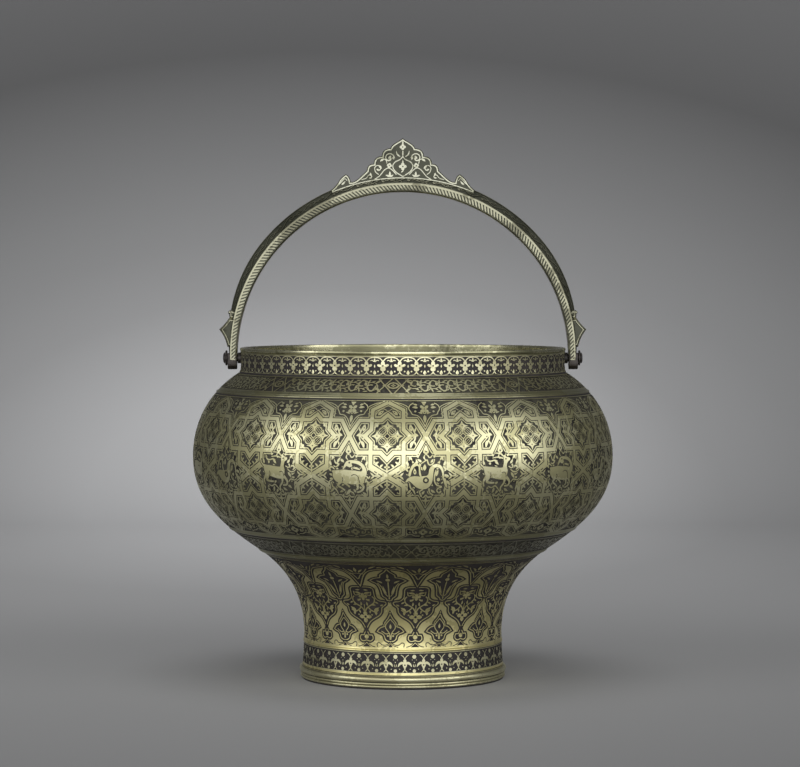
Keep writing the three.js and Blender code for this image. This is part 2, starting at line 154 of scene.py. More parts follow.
@dataclass(frozen=True)
class Finish:
    """A procedural metal or filling whose colour, gloss and surface vary as the real one's do, plus painted
    shade.

    Attributes:
        name: The material's name.
        colour: The usual colour, linear.
        tint: The colour of its darker, older patches.
        metal: Metallic share.
        gloss: Roughness of the rubbed and of the dull patches.
        patch: How many patches there are to the metre.
        patchy: How strongly the patches show, from 0 to 1.
        scratch: Height of the fine scratches, in millimetres.
        pits: Height of the casting pits, in millimetres.
        coat: Strength of the clear skin of wax and grime that whitens the highlights.
        painted_shade: Painted shade: the height in millimetres where it darkens the metal most, the height
            where it ends, and the share of the colour that is left at its darkest.
    """

    name: str
    colour: tuple[float, float, float]
    tint: tuple[float, float, float]
    metal: float = 1.0
    gloss: tuple[float, float] = (0.3, 0.5)
    patch: float = 45.0
    patchy: float = 0.6
    scratch: float = 0.02
    pits: float = 0.03
    coat: float = 0.3
    painted_shade: Optional[tuple[float, float, float]] = None

    def make(self) -> bpy.types.Material:
        """Make this finish's material, once.

        Returns:
            The material, shared by every piece that has the finish.
        """
        if self.name in bpy.data.materials:
            return bpy.data.materials[self.name]
        material = bpy.data.materials.new(self.name)
        material.use_nodes = True
        graph = Graph(material.node_tree)
        place = graph.add("TexCoord").outputs["Object"]
        broad = graph.noise(place, self.patch, 6.0, 1.6)
        fine = graph.noise(place, self.patch * 14.0, 3.0)
        blend = graph.add("Math")
        blend.operation = "MULTIPLY_ADD"
        graph.feed(blend, {0: fine, 1: 0.35, 2: broad})
        age = blend.outputs["Value"]
        ends = {"From Min": 0.4, "From Max": 0.85, "To Min": self.gloss[1], "To Max": self.gloss[0]}
        dull = graph.add("MapRange", {"Value": age, **ends})
        shader = {
            "Base Color": self.coloured(graph, place, age),
            "Metallic": self.metal,
            "Roughness": dull.outputs["Result"],
            "Normal": self.roughened(graph, place),
            "Coat Weight": self.coat,
            "Coat Roughness": self.gloss[0] + 0.05,
        }
        graph.feed(graph.tree.nodes["Principled BSDF"], shader)
        return material

    def coloured(
        self, graph: Graph, place: bpy.types.NodeSocket, age: bpy.types.NodeSocket
    ) -> bpy.types.NodeSocket:
        """Add the colour, older in patches and darker over a band of heights as painted shade.

        Args:
            graph: The material's nodes.
            place: The object's own coordinates.
            age: How old the metal looks.

        Returns:
            The output that holds the colour.
        """
        ramp = graph.add("ValToRGB", {"Fac": age})
        low, high = ramp.color_ramp.elements
        low.position, high.position = 0.78 - 0.25 * self.patchy, 0.62 + 0.1 * (1.0 - self.patchy)
        low.position = min(low.position, high.position - 0.02)
        low.color = (*self.tint, 1.0)
        high.color = (*self.colour, 1.0)
        if not self.painted_shade:
            return ramp.outputs["Color"]
        # Painted shade: the colour is scaled down between two heights.
        darkest_at, unshaded_at, left = self.painted_shade
        height = graph.add("SeparateXYZ", {"Vector": place}).outputs["Z"]
        ends = {"From Min": darkest_at * MM, "From Max": unshaded_at * MM, "To Min": left}
        shade_share = graph.add("MapRange", {"Value": height, **ends})
        darker = graph.add("VectorMath")
        darker.operation = "SCALE"
        graph.feed(darker, {"Vector": ramp.outputs["Color"], "Scale": shade_share.outputs["Result"]})
        return darker.outputs["Vector"]

    def roughened(self, graph: Graph, place: bpy.types.NodeSocket) -> bpy.types.NodeSocket:
        """Add the fine scratches and the casting pits.

        Args:
            graph: The material's nodes.
            place: The object's own coordinates.

        Returns:
            The output that holds the surface's normal.
        """
        lines = graph.noise(place, SCRATCH_SCALE, 2.0, SCRATCH_STRETCH)
        pits = graph.noise(place, PIT_SCALE, 4.0)
        bump = {"Strength": BUMP_STRENGTH, "Distance": self.scratch * MM, "Height": lines}
        rub = graph.add("Bump", bump).outputs["Normal"]
        bump = {"Strength": BUMP_STRENGTH, "Distance": self.pits * MM, "Height": pits, "Normal": rub}
        return graph.add("Bump", bump).outputs["Normal"]


ENGRAVED_BRASS = Finish(
    "chased_brass",
    (0.61, 0.585, 0.36),
    (0.46, 0.435, 0.24),
    gloss=(0.37, 0.5),
    patchy=0.4,
    coat=0.25,
    # Painted shade: darker from 112 mm down to 76 mm, where the belly faces down.
    painted_shade=(76.0, 112.0, 0.62),
)
PETAL_BRASS = Finish("petal_brass", (0.6, 0.575, 0.375), (0.45, 0.425, 0.26), gloss=(0.37, 0.5), patchy=0.4)
RUBBED_BRASS = Finish(
    "rubbed_brass", (0.31, 0.3, 0.185), (0.24, 0.23, 0.13), gloss=(0.36, 0.5), patchy=0.25, coat=0.15
)
FOOT_BRASS = Finish(
    "foot_brass",
    (0.84, 0.765, 0.395),
    (0.62, 0.56, 0.27),
    gloss=(0.31, 0.45),
    patchy=0.4,
    coat=0.15,
    # Painted shade: darker from 30 mm up to 63 mm, under the belly's overhang.
    painted_shade=(63.0, 30.0, 0.5),
)
# Also laid inside the neck, where its paler colour is a painted reflection.
LIP_AND_INNER_SHEEN_BRASS = Finish(
    "lip_and_inner_sheen_brass", (0.52, 0.5, 0.32), (0.29, 0.28, 0.165), gloss=(0.2, 0.38), patch=30.0, patchy=0.7, coat=0.2
)
SCROLL_BRASS = Finish(
    "scroll_brass", (0.42, 0.405, 0.25), (0.3, 0.28, 0.16), gloss=(0.4, 0.54), patchy=0.4, coat=0.2
)
# Also laid on the band under the belly, where its darker colour is painted shade.
BAIL_AND_UNDER_SHADE_BRASS = Finish("darkened_brass_and_under_shade", (0.26, 0.255, 0.18), (0.15, 0.145, 0.097), gloss=(0.34, 0.5))
CREST_BRASS = Finish("greyed_brass", (0.4, 0.4, 0.313), (0.27, 0.27, 0.195), gloss=(0.4, 0.56))
BLACK_FILLING = Finish(
    "black_filling",
    (0.012, 0.009, 0.008),
    (0.026, 0.021, 0.017),
    metal=0.0,
    gloss=(0.6, 0.8),
    patchy=0.9,
    coat=0.05,
)
WORN_FILLING = Finish(
    "worn_filling",
    (0.045, 0.042, 0.028),
    (0.02, 0.017, 0.013),
    metal=0.4,
    gloss=(0.5, 0.7),
    patchy=0.8,
    coat=0.1,
)
RUBBED_FILLING = Finish(
    "rubbed_filling",
    (0.05, 0.047, 0.032),
    (0.012, 0.01, 0.008),
    metal=0.4,
    gloss=(0.5, 0.7),
    patch=110.0,
    patchy=0.9,
    coat=0.1,
)
CREST_GROUND = Finish(
    "crest_ground",
    (0.055, 0.057, 0.038),
    (0.03, 0.032, 0.02),
    metal=0.6,
    gloss=(0.5, 0.65),
    patchy=0.9,
    coat=0.1,
)
DARK_IRON = Finish(
    "dark_iron", (0.035, 0.028, 0.024), (0.016, 0.013, 0.012), metal=0.6, gloss=(0.4, 0.6), pits=0.12
)


# Lines and shapes on the flat


def as_points(points: Iterable[Point]) -> Array:
    """Return points as an array with a row for each."""
    return np.asarray(list(points) if not isinstance(points, np.ndarray) else points, float)


def smooth(points: Iterable[Point], steps: int = 4, closed: bool = False) -> Array:
    """Run a smooth curve through points.

    Args:
        points: The points it passes.
        steps: How many stretches there are from one point to the next.
        closed: Whether it comes back to its start.

    Returns:
        The curve's points.
    """
    p = as_points(points)
    if closed:
        p = np.vstack([p[-1:], p, p[:2]])
    else:
        p = np.vstack([2 * p[0] - p[1], p, 2 * p[-1] - p[-2]])
    t = np.linspace(0, 1, steps, endpoint=False)[:, None]
    parts = []
    for a, b, c, d in zip(p, p[1:], p[2:], p[3:]):
        parts.append(
            0.5 * (2 * b + (c - a) * t + (2 * a - 5 * b + 4 * c - d) * t**2 + (3 * b - a - 3 * c + d) * t**3)
        )
    curve = np.vstack(parts)
    return curve if closed else np.vstack([curve, p[-2:-1]])


def ribbon(points: Iterable[Point], width: Widths, closed: bool = False) -> Array:
    """Give a line its width.

    Args:
        points: The line's points.
        width: Its width, or a width for each point.
        closed: Whether the line comes back to its start.

    Returns:
        The outline of the broad line.
    """
    p = as_points(points)
    half = np.broadcast_to(np.asarray(width, float) / 2, len(p))[:, None]
    if closed:
        before, after = np.roll(p, 1, 0), np.roll(p, -1, 0)
    else:
        before = np.vstack([2 * p[0] - p[1], p[:-1]])
        after = np.vstack([p[1:], 2 * p[-1] - p[-2]])

    def square(step: Array) -> Array:
        """Return the unit step turned a quarter to the left."""
        unit = step / np.maximum(np.linalg.norm(step, axis=1, keepdims=True), 1e-9)
        return np.column_stack([-unit[:, 1], unit[:, 0]])

    into, out = square(p - before), square(after - p)
    mitre = (into + out) / np.maximum(1 + (into * out).sum(1, keepdims=True), 0.3)
    left, right = p + mitre * half, p - mitre * half
    if closed:
        return np.vstack([left, left[:1], right[:1], right[::-1]])
    return np.vstack([left, right[::-1]])


def oval(centre: Point, across: float, up: float, sides: int) -> Array:
    """Return an ellipse from its middle and its two radii."""
    a = np.linspace(0, tau, sides, endpoint=False)
    return np.column_stack([centre[0] + across * np.cos(a), centre[1] + up * np.sin(a)])


def oblong(left: float, right: float, low: float, high: float) -> Array:
    """Return the corners of a rectangle."""
    return np.array([(left, low), (right, low), (right, high), (left, high)], float)


def both_sides(right: Iterable[Point]) -> Array:
    """Close the right half of an outline with its mirror image.

    Args:
        right: The right half, from the middle line back to it.

    Returns:
        The whole outline.
    """
    right = as_points(right)
    left = (right * [-1, 1])[::-1]
    return np.vstack([right, left[left[:, 0] != 0]])


def leaf(base: Point, tip: Point, width: float, lean: float = 0.0, steps: int = 5) -> Array:
    """Draw a pointed leaf.

    Args:
        base: Where it starts.
        tip: Where it ends.
        width: Its greatest width.
        lean: How far its middle is pushed aside.
        steps: How many points its spine has.

    Returns:
        Its outline.
    """
    base, tip = np.asarray(base, float), np.asarray(tip, float)
    along = tip - base
    aside = np.array([-along[1], along[0]]) / max(hypot(*along), 1e-9)
    t = np.linspace(0, 1, steps)[:, None]
    spine = base + along * t + aside * lean * 4 * t * (1 - t)
    swell = width / 2 * np.sin(pi * t**0.8)
    return np.vstack([spine + aside * swell, (spine - aside * swell)[-2:0:-1]])


def winding(points: Array, outline: Array) -> Array:
    """Count how often an outline runs round each point.

    Args:
        points: The points.
        outline: The corners of the closed outline.

    Returns:
        A whole number for each point, 0 outside.
    """
    x, y = points[:, 0, None], points[:, 1, None]
    ax, ay = outline[:, 0], outline[:, 1]
    bx, by = np.roll(ax, -1), np.roll(ay, -1)
    side = (bx - ax) * (y - ay) - (x - ax) * (by - ay)
    return ((ay <= y) & (by > y) & (side > 0)).sum(1) - ((ay > y) & (by <= y) & (side < 0)).sum(1)


class Drawing:
    """Shapes laid over one another on a ground, in millimetres: the last one on top is what shows."""

    def __init__(self, metal: bool = False) -> None:
        """Start with a bare ground, or with plain metal."""
        self.metal = metal
        self.shapes: list[tuple[Array, bool]] = []

    def area(self, outline: Iterable[Point], metal: bool = True) -> "Drawing":
        """Lay a closed shape."""
        self.shapes.append((as_points(outline), metal))
        return self

    def bar(self, half: float, low: float, high: float, metal: bool = True) -> "Drawing":
        """Lay a rectangle, from -half to half across and from low to high."""
        return self.area(oblong(-half, half, low, high), metal)

    def figure(self, points: Iterable[Point]) -> "Drawing":
        """Lay a smooth closed shape through points in tenths of a millimetre."""
        return self.area(smooth(as_points(points) / 10, 2, True))

    def line(
        self, points: Iterable[Point], width: Widths, metal: bool = True, closed: bool = False
    ) -> "Drawing":
        """Lay a line of some width."""
        return self.area(ribbon(points, width, closed), metal)

    def leaf(self, base: Point, tip: Point, width: float, lean: float = 0.0) -> "Drawing":
        """Lay a pointed leaf."""
        return self.area(leaf(base, tip, width, lean))

    def leaves(self, *rows: Sequence[float]) -> "Drawing":
        """Lay several pointed leaves.

        Args:
            *rows: Base, tip and width of each leaf, and how far it leans where it does.

        Returns:
            This drawing.
        """
        for x, y, far_x, far_y, *form in rows:
            self.leaf((x, y), (far_x, far_y), *form)
        return self

    def dot(self, x: float, y: float, radius: float, sides: int = 8) -> "Drawing":
        """Lay a round dot."""
        return self.area(oval((x, y), radius, radius, sides))

    def hole(self, x: float, y: float, radius: float, sides: int = 8) -> "Drawing":
        """Lay a round spot of ground."""
        return self.area(oval((x, y), radius, radius, sides), False)

    def stroke(self, points: Iterable[Point], width: Widths, metal: bool = True) -> "Drawing":
        """Lay a smooth stroke.

        Args:
            points: Points that it passes, in tenths of a millimetre.
            width: Its width, or widths that are spread evenly along it.
            metal: Whether it is metal.

        Returns:
            This drawing.
        """
        spine = smooth(as_points(points) / 10, 3)
        if not np.isscalar(width):
            width = np.interp(np.linspace(0, 1, len(spine)), np.linspace(0, 1, len(width)), width)
        return self.line(spine, width, metal)

    def sweep(self, points: Iterable[Point], width: Widths, steps: int = 3, metal: bool = True) -> "Drawing":
        """Lay a smooth line through points, with some steps from one to the next."""
        return self.line(smooth(points, steps), width, metal)

    def add(
        self, other: "Drawing", shift: Point = (0.0, 0.0), turn: float = 0.0, flip: bool = False
    ) -> "Drawing":
        """Lay another drawing's shapes.

        Args:
            other: The drawing that is copied.
            shift: Where its origin goes.
            turn: How far it is turned, in degrees.
            flip: Whether left and right are swapped first.

        Returns:
            This drawing.
        """
        c, s = cos(radians(turn)), sin(radians(turn))
        for outline, metal in other.shapes:
            x, y = outline.T * np.array([[-1.0 if flip else 1.0], [1.0]])
            self.shapes.append((np.column_stack([shift[0] + c * x - s * y, shift[1] + s * x + c * y]), metal))
        return self

    def both(self, other: "Drawing", shift: Point = (0.0, 0.0)) -> "Drawing":
        """Lay another drawing and its mirror image, left and right of the middle line of this one."""
        return self.add(other, shift).add(other, (-shift[0], shift[1]), flip=True)

    def shows_metal(self, points: Array) -> Array:
        """Tell for each point whether metal shows there.

        Args:
            points: The points.

        Returns:
            Whether each of them is metal.
        """
        seen = np.full(len(points), self.metal)
        for outline, metal in self.shapes:
            near = np.flatnonzero(((points >= outline.min(0)) & (points <= outline.max(0))).all(1))
            if len(near):
                seen[near[winding(points[near], outline) != 0]] = metal
        return seen


# Flat sheets


@dataclass
class Sheet:
    """A flat sheet cut into triangles, each of them metal or ground."""

    points: Array
    triangles: Array
    metal: Array


def triangulate(points: Array, edges: Iterable[tuple[int, int]]) -> tuple[Array, Array]:
    """Return points and triangles that keep the given edges, crossings included."""
    out, _, faces, *_ = delaunay_2d_cdt([Vector(p) for p in points], list(edges), [], 0, 1e-4, False)
    return np.array([tuple(p) for p in out], float), np.array([f for f in faces if len(f) == 3], int)


def between(points: Array, triangles: Array, kind: Array) -> tuple[Array, Array]:
    """Find the edges where the kind of triangle changes, or where the sheet ends.

    Args:
        points: The corners.
        triangles: Three corners to a row.
        kind: A whole number for each triangle, 0 for nothing.

    Returns:
        The corners of each such edge, and whether the sheet ends there.
    """
    edges = np.sort(np.vstack([triangles[:, [0, 1]], triangles[:, [1, 2]], triangles[:, [2, 0]]]), axis=1)
    owner = np.tile(np.arange(len(triangles)), 3)
    key = edges[:, 0].astype(np.int64) * len(points) + edges[:, 1]
    order = np.argsort(key, kind="stable")
    key, edges, owner = key[order], edges[order], owner[order]
    first = np.flatnonzero(np.r_[True, key[1:] != key[:-1]])
    count = np.diff(np.r_[first, len(key)])
    one = kind[owner[first]]
    other = np.where(count > 1, kind[owner[np.minimum(first + 1, len(owner) - 1)]], 0)
    changed = one != other
    return edges[first][changed], ((one == 0) | (other == 0))[changed]


def straightened(
    points: Array, edges: Array, longest: float, loose: Array, slack: float = 0.006
) -> tuple[Array, list[tuple[int, int]]]:
    """Drop corners that lie on a straight line, and split long edges.

    Args:
        points: The corners.
        edges: Two corners to a row.
        longest: The longest edge that is left.
        loose: Which corners may go however long the edge becomes.
        slack: How far off the line a dropped corner may lie.

    Returns:
        The corners that are left, and the edges between them.
    """
    joined: dict[int, list[int]] = {}
    for a, b in edges.tolist():
        joined.setdefault(a, []).append(b)
        joined.setdefault(b, []).append(a)
    for middle in list(joined):
        near = joined[middle]
        if len(near) != 2 or near[0] == near[1]:
            continue
        a, b = near
        if b in joined[a]:
            continue
        step, off = points[b] - points[a], points[middle] - points[a]
        length = hypot(*step)
        straight = abs(step[0] * off[1] - step[1] * off[0]) < slack * length
        if straight and (length < longest or loose[middle]):
            joined[a][joined[a].index(middle)] = b
            joined[b][joined[b].index(middle)] = a
            del joined[middle]
    number = {corner: i for i, corner in enumerate(joined)}
    kept = [points[corner] for corner in joined]
    out: list[tuple[int, int]] = []
    for a, near in joined.items():
        for b in near:
            if a < b:
                cuts = ceil(hypot(*(points[b] - points[a])) / longest)
                run = [number[a]]
                for i in range(1, cuts):
                    run.append(len(kept))
                    kept.append(points[a] + (points[b] - points[a]) * i / cuts)
                run.append(number[b])
                out += list(zip(run, run[1:]))
    return np.array(kept), out


def spread(limit: Array, corners: Array, spacing: float) -> Array:
    """Spread points in staggered rows over a sheet, away from its lines.

    Args:
        limit: The sheet's outline.
        corners: The corners of its lines.
        spacing: The distance between two points.

    Returns:
        The points.
    """
    low, high = limit.min(0), limit.max(0)
    x = np.arange(low[0] + spacing / 2, high[0], spacing)
    y = np.arange(low[1] + spacing * 0.6, high[1], spacing * 0.9)
    grid = np.stack(np.meshgrid(x, y), -1)
    grid[1::2, :, 0] += spacing / 2
    grid = grid.reshape(-1, 2)
    free = winding(grid, limit) != 0
    for part in np.array_split(corners, ceil(len(corners) / BATCH)):
        free &= (np.linalg.norm(grid[:, None] - part[None], axis=2) > spacing * 0.45).all(1)
    return grid[free]


def cut_sheet(
    drawing: Drawing,
    limit: Array,
    spacing: float,
    edges_at: Sequence[Array] = (),
    folds: Sequence[Array] = (),
) -> Sheet:
    """Cut a drawing into a sheet of triangles.

    Args:
        drawing: What is drawn.
        limit: The sheet's outline.
        spacing: The longest edge and the distance of the points between the lines.
        edges_at: Points that the sheet's edge must have.
        folds: Lines of points along which the sheet is folded later.

    Returns:
        The sheet.
    """
    outlines = [limit] + [
        o for o, _ in drawing.shapes if (o.max(0) >= limit.min(0)).all() and (o.min(0) <= limit.max(0)).all()
    ]
    points, edges = [], []
    for outline in outlines:
        start = len(points)
        points += outline.tolist()
        edges += [(start + i, start + (i + 1) % len(outline)) for i in range(len(outline))]
    for extra in edges_at:
        points += extra.tolist()

    def kinds(corners: Array, triangles: Array) -> Array:
        """Return 0 outside the sheet, 1 on the ground and 2 on metal."""
        middle = corners[triangles].mean(1)
        return (1 + drawing.shows_metal(middle)) * (winding(middle, limit) != 0)

    corners, triangles = triangulate(np.array(points), edges)
    found, ends = between(corners, triangles, kinds(corners, triangles))
    loose = np.zeros(len(corners), bool)
    loose[found[ends].ravel()] = True
    for extra in edges_at:
        for point in extra:
            loose[np.hypot(*(corners - point).T) < 2 * TOUCH] = False
    corners, lines = straightened(corners, found, spacing, loose)
    for fold in folds:
        lines += [(len(corners) + i, len(corners) + i + 1) for i in range(len(fold) - 1)]
        corners = np.vstack([corners, fold])
    corners, triangles = triangulate(np.vstack([corners, spread(limit, corners, spacing)]), lines)
    kind = kinds(corners, triangles)
    return Sheet(corners, triangles[kind > 0], kind[kind > 0] == 2)


# Meshes


def deselect() -> None:
    """Leave nothing selected."""
    if bpy.context.object and bpy.context.object.mode != "OBJECT":
        bpy.ops.object.mode_set(mode="OBJECT")
    bpy.ops.object.select_all(action="DESELECT")


def choose(piece: Object) -> None:
    """Make a piece the only one selected, and active.

    Args:
        piece: The object.
    """
    deselect()
    piece.select_set(True)
    bpy.context.view_layer.objects.active = piece
    bpy.context.tool_settings.mesh_select_mode = (True, False, False)


def new_piece(name: str, points: Array, edges: Sequence = (), faces: Sequence = ()) -> Object:
    """Return a new mesh object, selected and active.

    Args:
        name: Its name.
        points: Its vertices.
        edges: Its edges, where it has no faces.
        faces: Its faces.

    Returns:
        The object.
    """
    mesh = bpy.data.meshes.new(name)
    mesh.from_pydata(points.tolist(), list(edges), faces)
    piece = bpy.data.objects.new(name, mesh)
    bpy.context.scene.collection.objects.link(piece)
    choose(piece)
    return piece


def select_faces(piece: Object, faces: Array) -> None:
    """Select the given faces of the mesh in object mode, and nothing else.

    Args:
        piece: The object.
        faces: Whether each face is selected.
    """
    mesh = piece.data
    mesh.vertices.foreach_set("select", np.zeros(len(mesh.vertices), bool))
    mesh.edges.foreach_set("select", np.zeros(len(mesh.edges), bool))
    mesh.polygons.foreach_set("select", faces)
    bpy.context.tool_settings.mesh_select_mode = (False, False, True)


@contextmanager
def editing(everything: bool = True) -> Iterator[None]:
    """Edit the active mesh, with everything selected or with what was selected before.

    Args:
        everything: Whether everything is selected first.
    """
    bpy.ops.object.mode_set(mode="EDIT")
    if everything:
        bpy.ops.mesh.select_all(action="SELECT")
    yield
    bpy.ops.object.mode_set(mode="OBJECT")


def select_border() -> None:
    """Select the open edges of the mesh that is being edited."""
    bpy.ops.mesh.select_mode(type="EDGE")
    bpy.ops.mesh.select_all(action="DESELECT")
    bpy.ops.mesh.select_non_manifold(
        extend=False, use_wire=False, use_boundary=True, use_multi_face=False, use_non_contiguous=False
    )


def extrude(move: tuple[float, float, float] = (0.0, 0.0, 0.0)) -> None:
    """Extrude what is selected."""
    bpy.ops.mesh.extrude_region_move(TRANSFORM_OT_translate={"value": move})


def face_outwards() -> None:
    """Turn all faces of the mesh that is being edited outwards."""
    bpy.ops.mesh.select_all(action="SELECT")
    bpy.ops.mesh.normals_make_consistent(inside=False)


def corners_of(piece: Object) -> Array:
    """Return the places of a mesh's vertices.

    Args:
        piece: The object.

    Returns:
        A row of coordinates for each vertex, in metres.
    """
    out = np.zeros(len(piece.data.vertices) * 3)
    piece.data.vertices.foreach_get("co", out)
    return out.reshape(-1, 3)


def place_corners(piece: Object, places: Array) -> None:
    """Move a mesh's vertices to new places."""
    piece.data.vertices.foreach_set("co", places.ravel())
    piece.data.update()


def corner_owners(piece: Object) -> tuple[Array, Array]:
    """Return the vertex at each face corner, and where each face's corners start.

    Args:
        piece: The object.

    Returns:
        The vertex of each corner, and each face's first corner.
    """
    mesh = piece.data
    owner, start = np.zeros(len(mesh.loops), int), np.zeros(len(mesh.polygons), int)
    mesh.loops.foreach_get("vertex_index", owner)
    mesh.polygons.foreach_get("loop_start", start)
    return owner, start


def chosen_corners(piece: Object) -> Array:
    """Return which vertices are selected.

    Args:
        piece: The object.

    Returns:
        Whether each vertex is selected.
    """
    out = np.zeros(len(piece.data.vertices), bool)
    piece.data.vertices.foreach_get("select", out)
    return out


def read(piece: Object, label: str) -> Array:
    """Return a number that is kept at each vertex.

    Args:
        piece: The object.
        label: The number's name.

    Returns:
        The number of each vertex.
    """
    out = np.zeros(len(piece.data.vertices))
    piece.data.attributes[label].data.foreach_get("value", out)
    return out


def keep(piece: Object, **numbers: Array) -> None:
    """Keep numbers at each vertex, under the names they are given by.

    Args:
        piece: The object.
        **numbers: A number for each vertex, under its name.
    """
    for label, values in numbers.items():
        kept = piece.data.attributes.get(label) or piece.data.attributes.new(label, "FLOAT", "POINT")
        kept.data.foreach_set("value", values)


def forget(piece: Object) -> None:
    """Remove the flat coordinates and depths that a piece keeps."""
    for label in FLAT_LABELS:
        piece.data.attributes.remove(piece.data.attributes[label])


def finish_piece(
    piece: Object,
    body: Body,
    finishes: Sequence[Finish],
    replaces: Sequence[str] = (),
    sharp: float = 30.0,
) -> Object:
    """Shade a piece, give it its finishes, attach it to its body and hide the CAD parts it replaces.

    Args:
        piece: The finished mesh.
        body: The body that it moves with.
        finishes: The finish of each material index in turn.
        replaces: The CAD nodes that it stands for.
        sharp: The angle in degrees past which an edge is shaded as an edge.

    Returns:
        The piece.
    """
    for finish in finishes:
        piece.data.materials.append(finish.make())
    choose(piece)
    bpy.ops.object.shade_smooth_by_angle(angle=radians(sharp))
    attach(piece, body.value)
    if replaces:
        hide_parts(*replaces)
    triangles = sum(len(p.vertices) - 2 for p in piece.data.polygons)
    log.info("%s: %d triangles", piece.name, triangles)
    return piece


def turn_profile(name: str, profile: Iterable[Point], steps: int = 180, along_x: bool = False) -> Object:
    """Spin a profile round an axis, as on a lathe.

    Args:
        name: The piece's name.
        profile: Radii and heights in millimetres, from the lowest inner point round to the highest.
        steps: How many stretches go round.
        along_x: Whether the axis is X, where the pivots lie, and not Z.

    Returns:
        The turned piece, closed and with its faces outwards.
    """
    points = as_points(profile) * MM
    zero = np.zeros(len(points))
    if along_x:
        places, axis = np.column_stack([points[:, 1], zero, points[:, 0]]), (1, 0, 0)
    else:
        places, axis = np.column_stack([points[:, 0], zero, points[:, 1]]), (0, 0, 1)
    piece = new_piece(name, places, [(i, i + 1) for i in range(len(points) - 1)])
    with editing():
        bpy.ops.mesh.spin(steps=steps, angle=tau, center=(0, 0, 0), axis=axis)
        bpy.ops.mesh.select_all(action="SELECT")
        bpy.ops.mesh.remove_doubles(threshold=TURN_WELD)
        face_outwards()
    return piece


# The body's outline


@dataclass(frozen=True)
class Outline:
    """The outside of the pail from its foot to its rim, in millimetres, as turned."""

    foot_flare: float = 1.1
    waist_radius: float = 49.4
    waist_height: float = 22.0
    waist_pull: float = 20.7
    seam_radius: float = 73.3
    seam_height: float = 65.65
    seam_slope: float = 33.93
    seam_pull_down: float = 17.6
    seam_pull_up: float = 21.9
    belly_radius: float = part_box("bowl")[1][0] / MM
    belly_height: float = 111.1
    belly_pull_down: float = 21.5
    belly_pull_up: float = 15.9
    shoulder_slope: float = 32.7
    shoulder_pull: float = 17.9
    neck_radius: float = 80.8
    neck_height: float = 11.6
    neck_fillet: float = 1.6
    rim_height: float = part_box("bowl")[1][2] / MM

    @cached_property
    def line(self) -> Array:
        """Radius and height of close points from the foot upwards.

        Returns:
            A row for each point.
        """
        t = np.linspace(0, 1, 60)[:, None]

        def bend(*p: Point) -> Array:
            """Return a cubic curve from its four control points."""
            a, b, c, d = (np.array(q) for q in p)
            return a * (1 - t) ** 3 + 3 * b * t * (1 - t) ** 2 + 3 * c * t**2 * (1 - t) + d * t**3

        slope = np.array([cos(radians(self.seam_slope)), sin(radians(self.seam_slope))])
        seam = np.array([self.seam_radius, self.seam_height])
        neck_foot = self.rim_height - self.neck_height
        shoulder = np.array([self.neck_radius + self.neck_fillet, neck_foot - 0.75 * self.neck_fillet])
        fall = np.array([-cos(radians(self.shoulder_slope)), sin(radians(self.shoulder_slope))])
        belly = np.array([self.belly_radius, self.belly_height])
        waist = np.array([self.waist_radius, self.waist_height])
        up = np.array([0.0, 1.0])
        parts = [
            np.array([[self.waist_radius + self.foot_flare, 0.0], [self.waist_radius + 0.3, 14.4]]),
            bend(waist, waist + up * self.waist_pull, seam - slope * self.seam_pull_down, seam)[:-1],
            bend(seam, seam + slope * self.seam_pull_up, belly - up * self.belly_pull_down, belly)[:-1],
            bend(belly, belly + up * self.belly_pull_up, shoulder - fall * self.shoulder_pull, shoulder),
            np.array([[self.neck_radius, neck_foot + 0.8], [self.neck_radius, self.rim_height]]),
        ]
        return np.vstack(parts)

    @cached_property
    def runs(self) -> Array:
        """Length of the outline from the foot to each of its points."""
        return np.r_[0, np.cumsum(np.linalg.norm(np.diff(self.line, axis=0), axis=1))]

    def run_at(self, height: float) -> float:
        """Return the length of the outline below a height."""
        return float(np.interp(height, self.line[:, 1], self.runs))

    def at(self, run: Array, depth: Array | float = 0.0) -> Array:
        """Return radius and height at a length along the outline, some depth below the surface.

        Args:
            run: Lengths along the outline.
            depth: How far below the surface.

        Returns:
            A radius and a height for each length.
        """
        run = np.asarray(run, float)
        spot = np.column_stack([np.interp(run, self.runs, self.line[:, i]) for i in (0, 1)])
        return spot - self.facing(run) * np.broadcast_to(np.asarray(depth, float), len(run))[:, None]

    def facing(self, run: Array) -> Array:
        """Return the way that the surface faces at a length along the outline, as radius and height.

        Args:
            run: Lengths along the outline.

        Returns:
            Unit steps outwards.
        """
        middle = (self.runs[1:] + self.runs[:-1]) / 2
        step = np.diff(self.line, axis=0)
        step /= np.linalg.norm(step, axis=1, keepdims=True)
        along = np.column_stack([np.interp(run, middle, step[:, i]) for i in (0, 1)])
        along /= np.linalg.norm(along, axis=1, keepdims=True)
        return np.column_stack([along[:, 1], -along[:, 0]])


# Engraved relief


class Surface(Protocol):
    """Something that a flat drawing can be laid on."""

    def place(self, across: Array, up: Array, depth: Array) -> Array:
        """Return the places in metres of points of the drawing, some depth below the surface."""


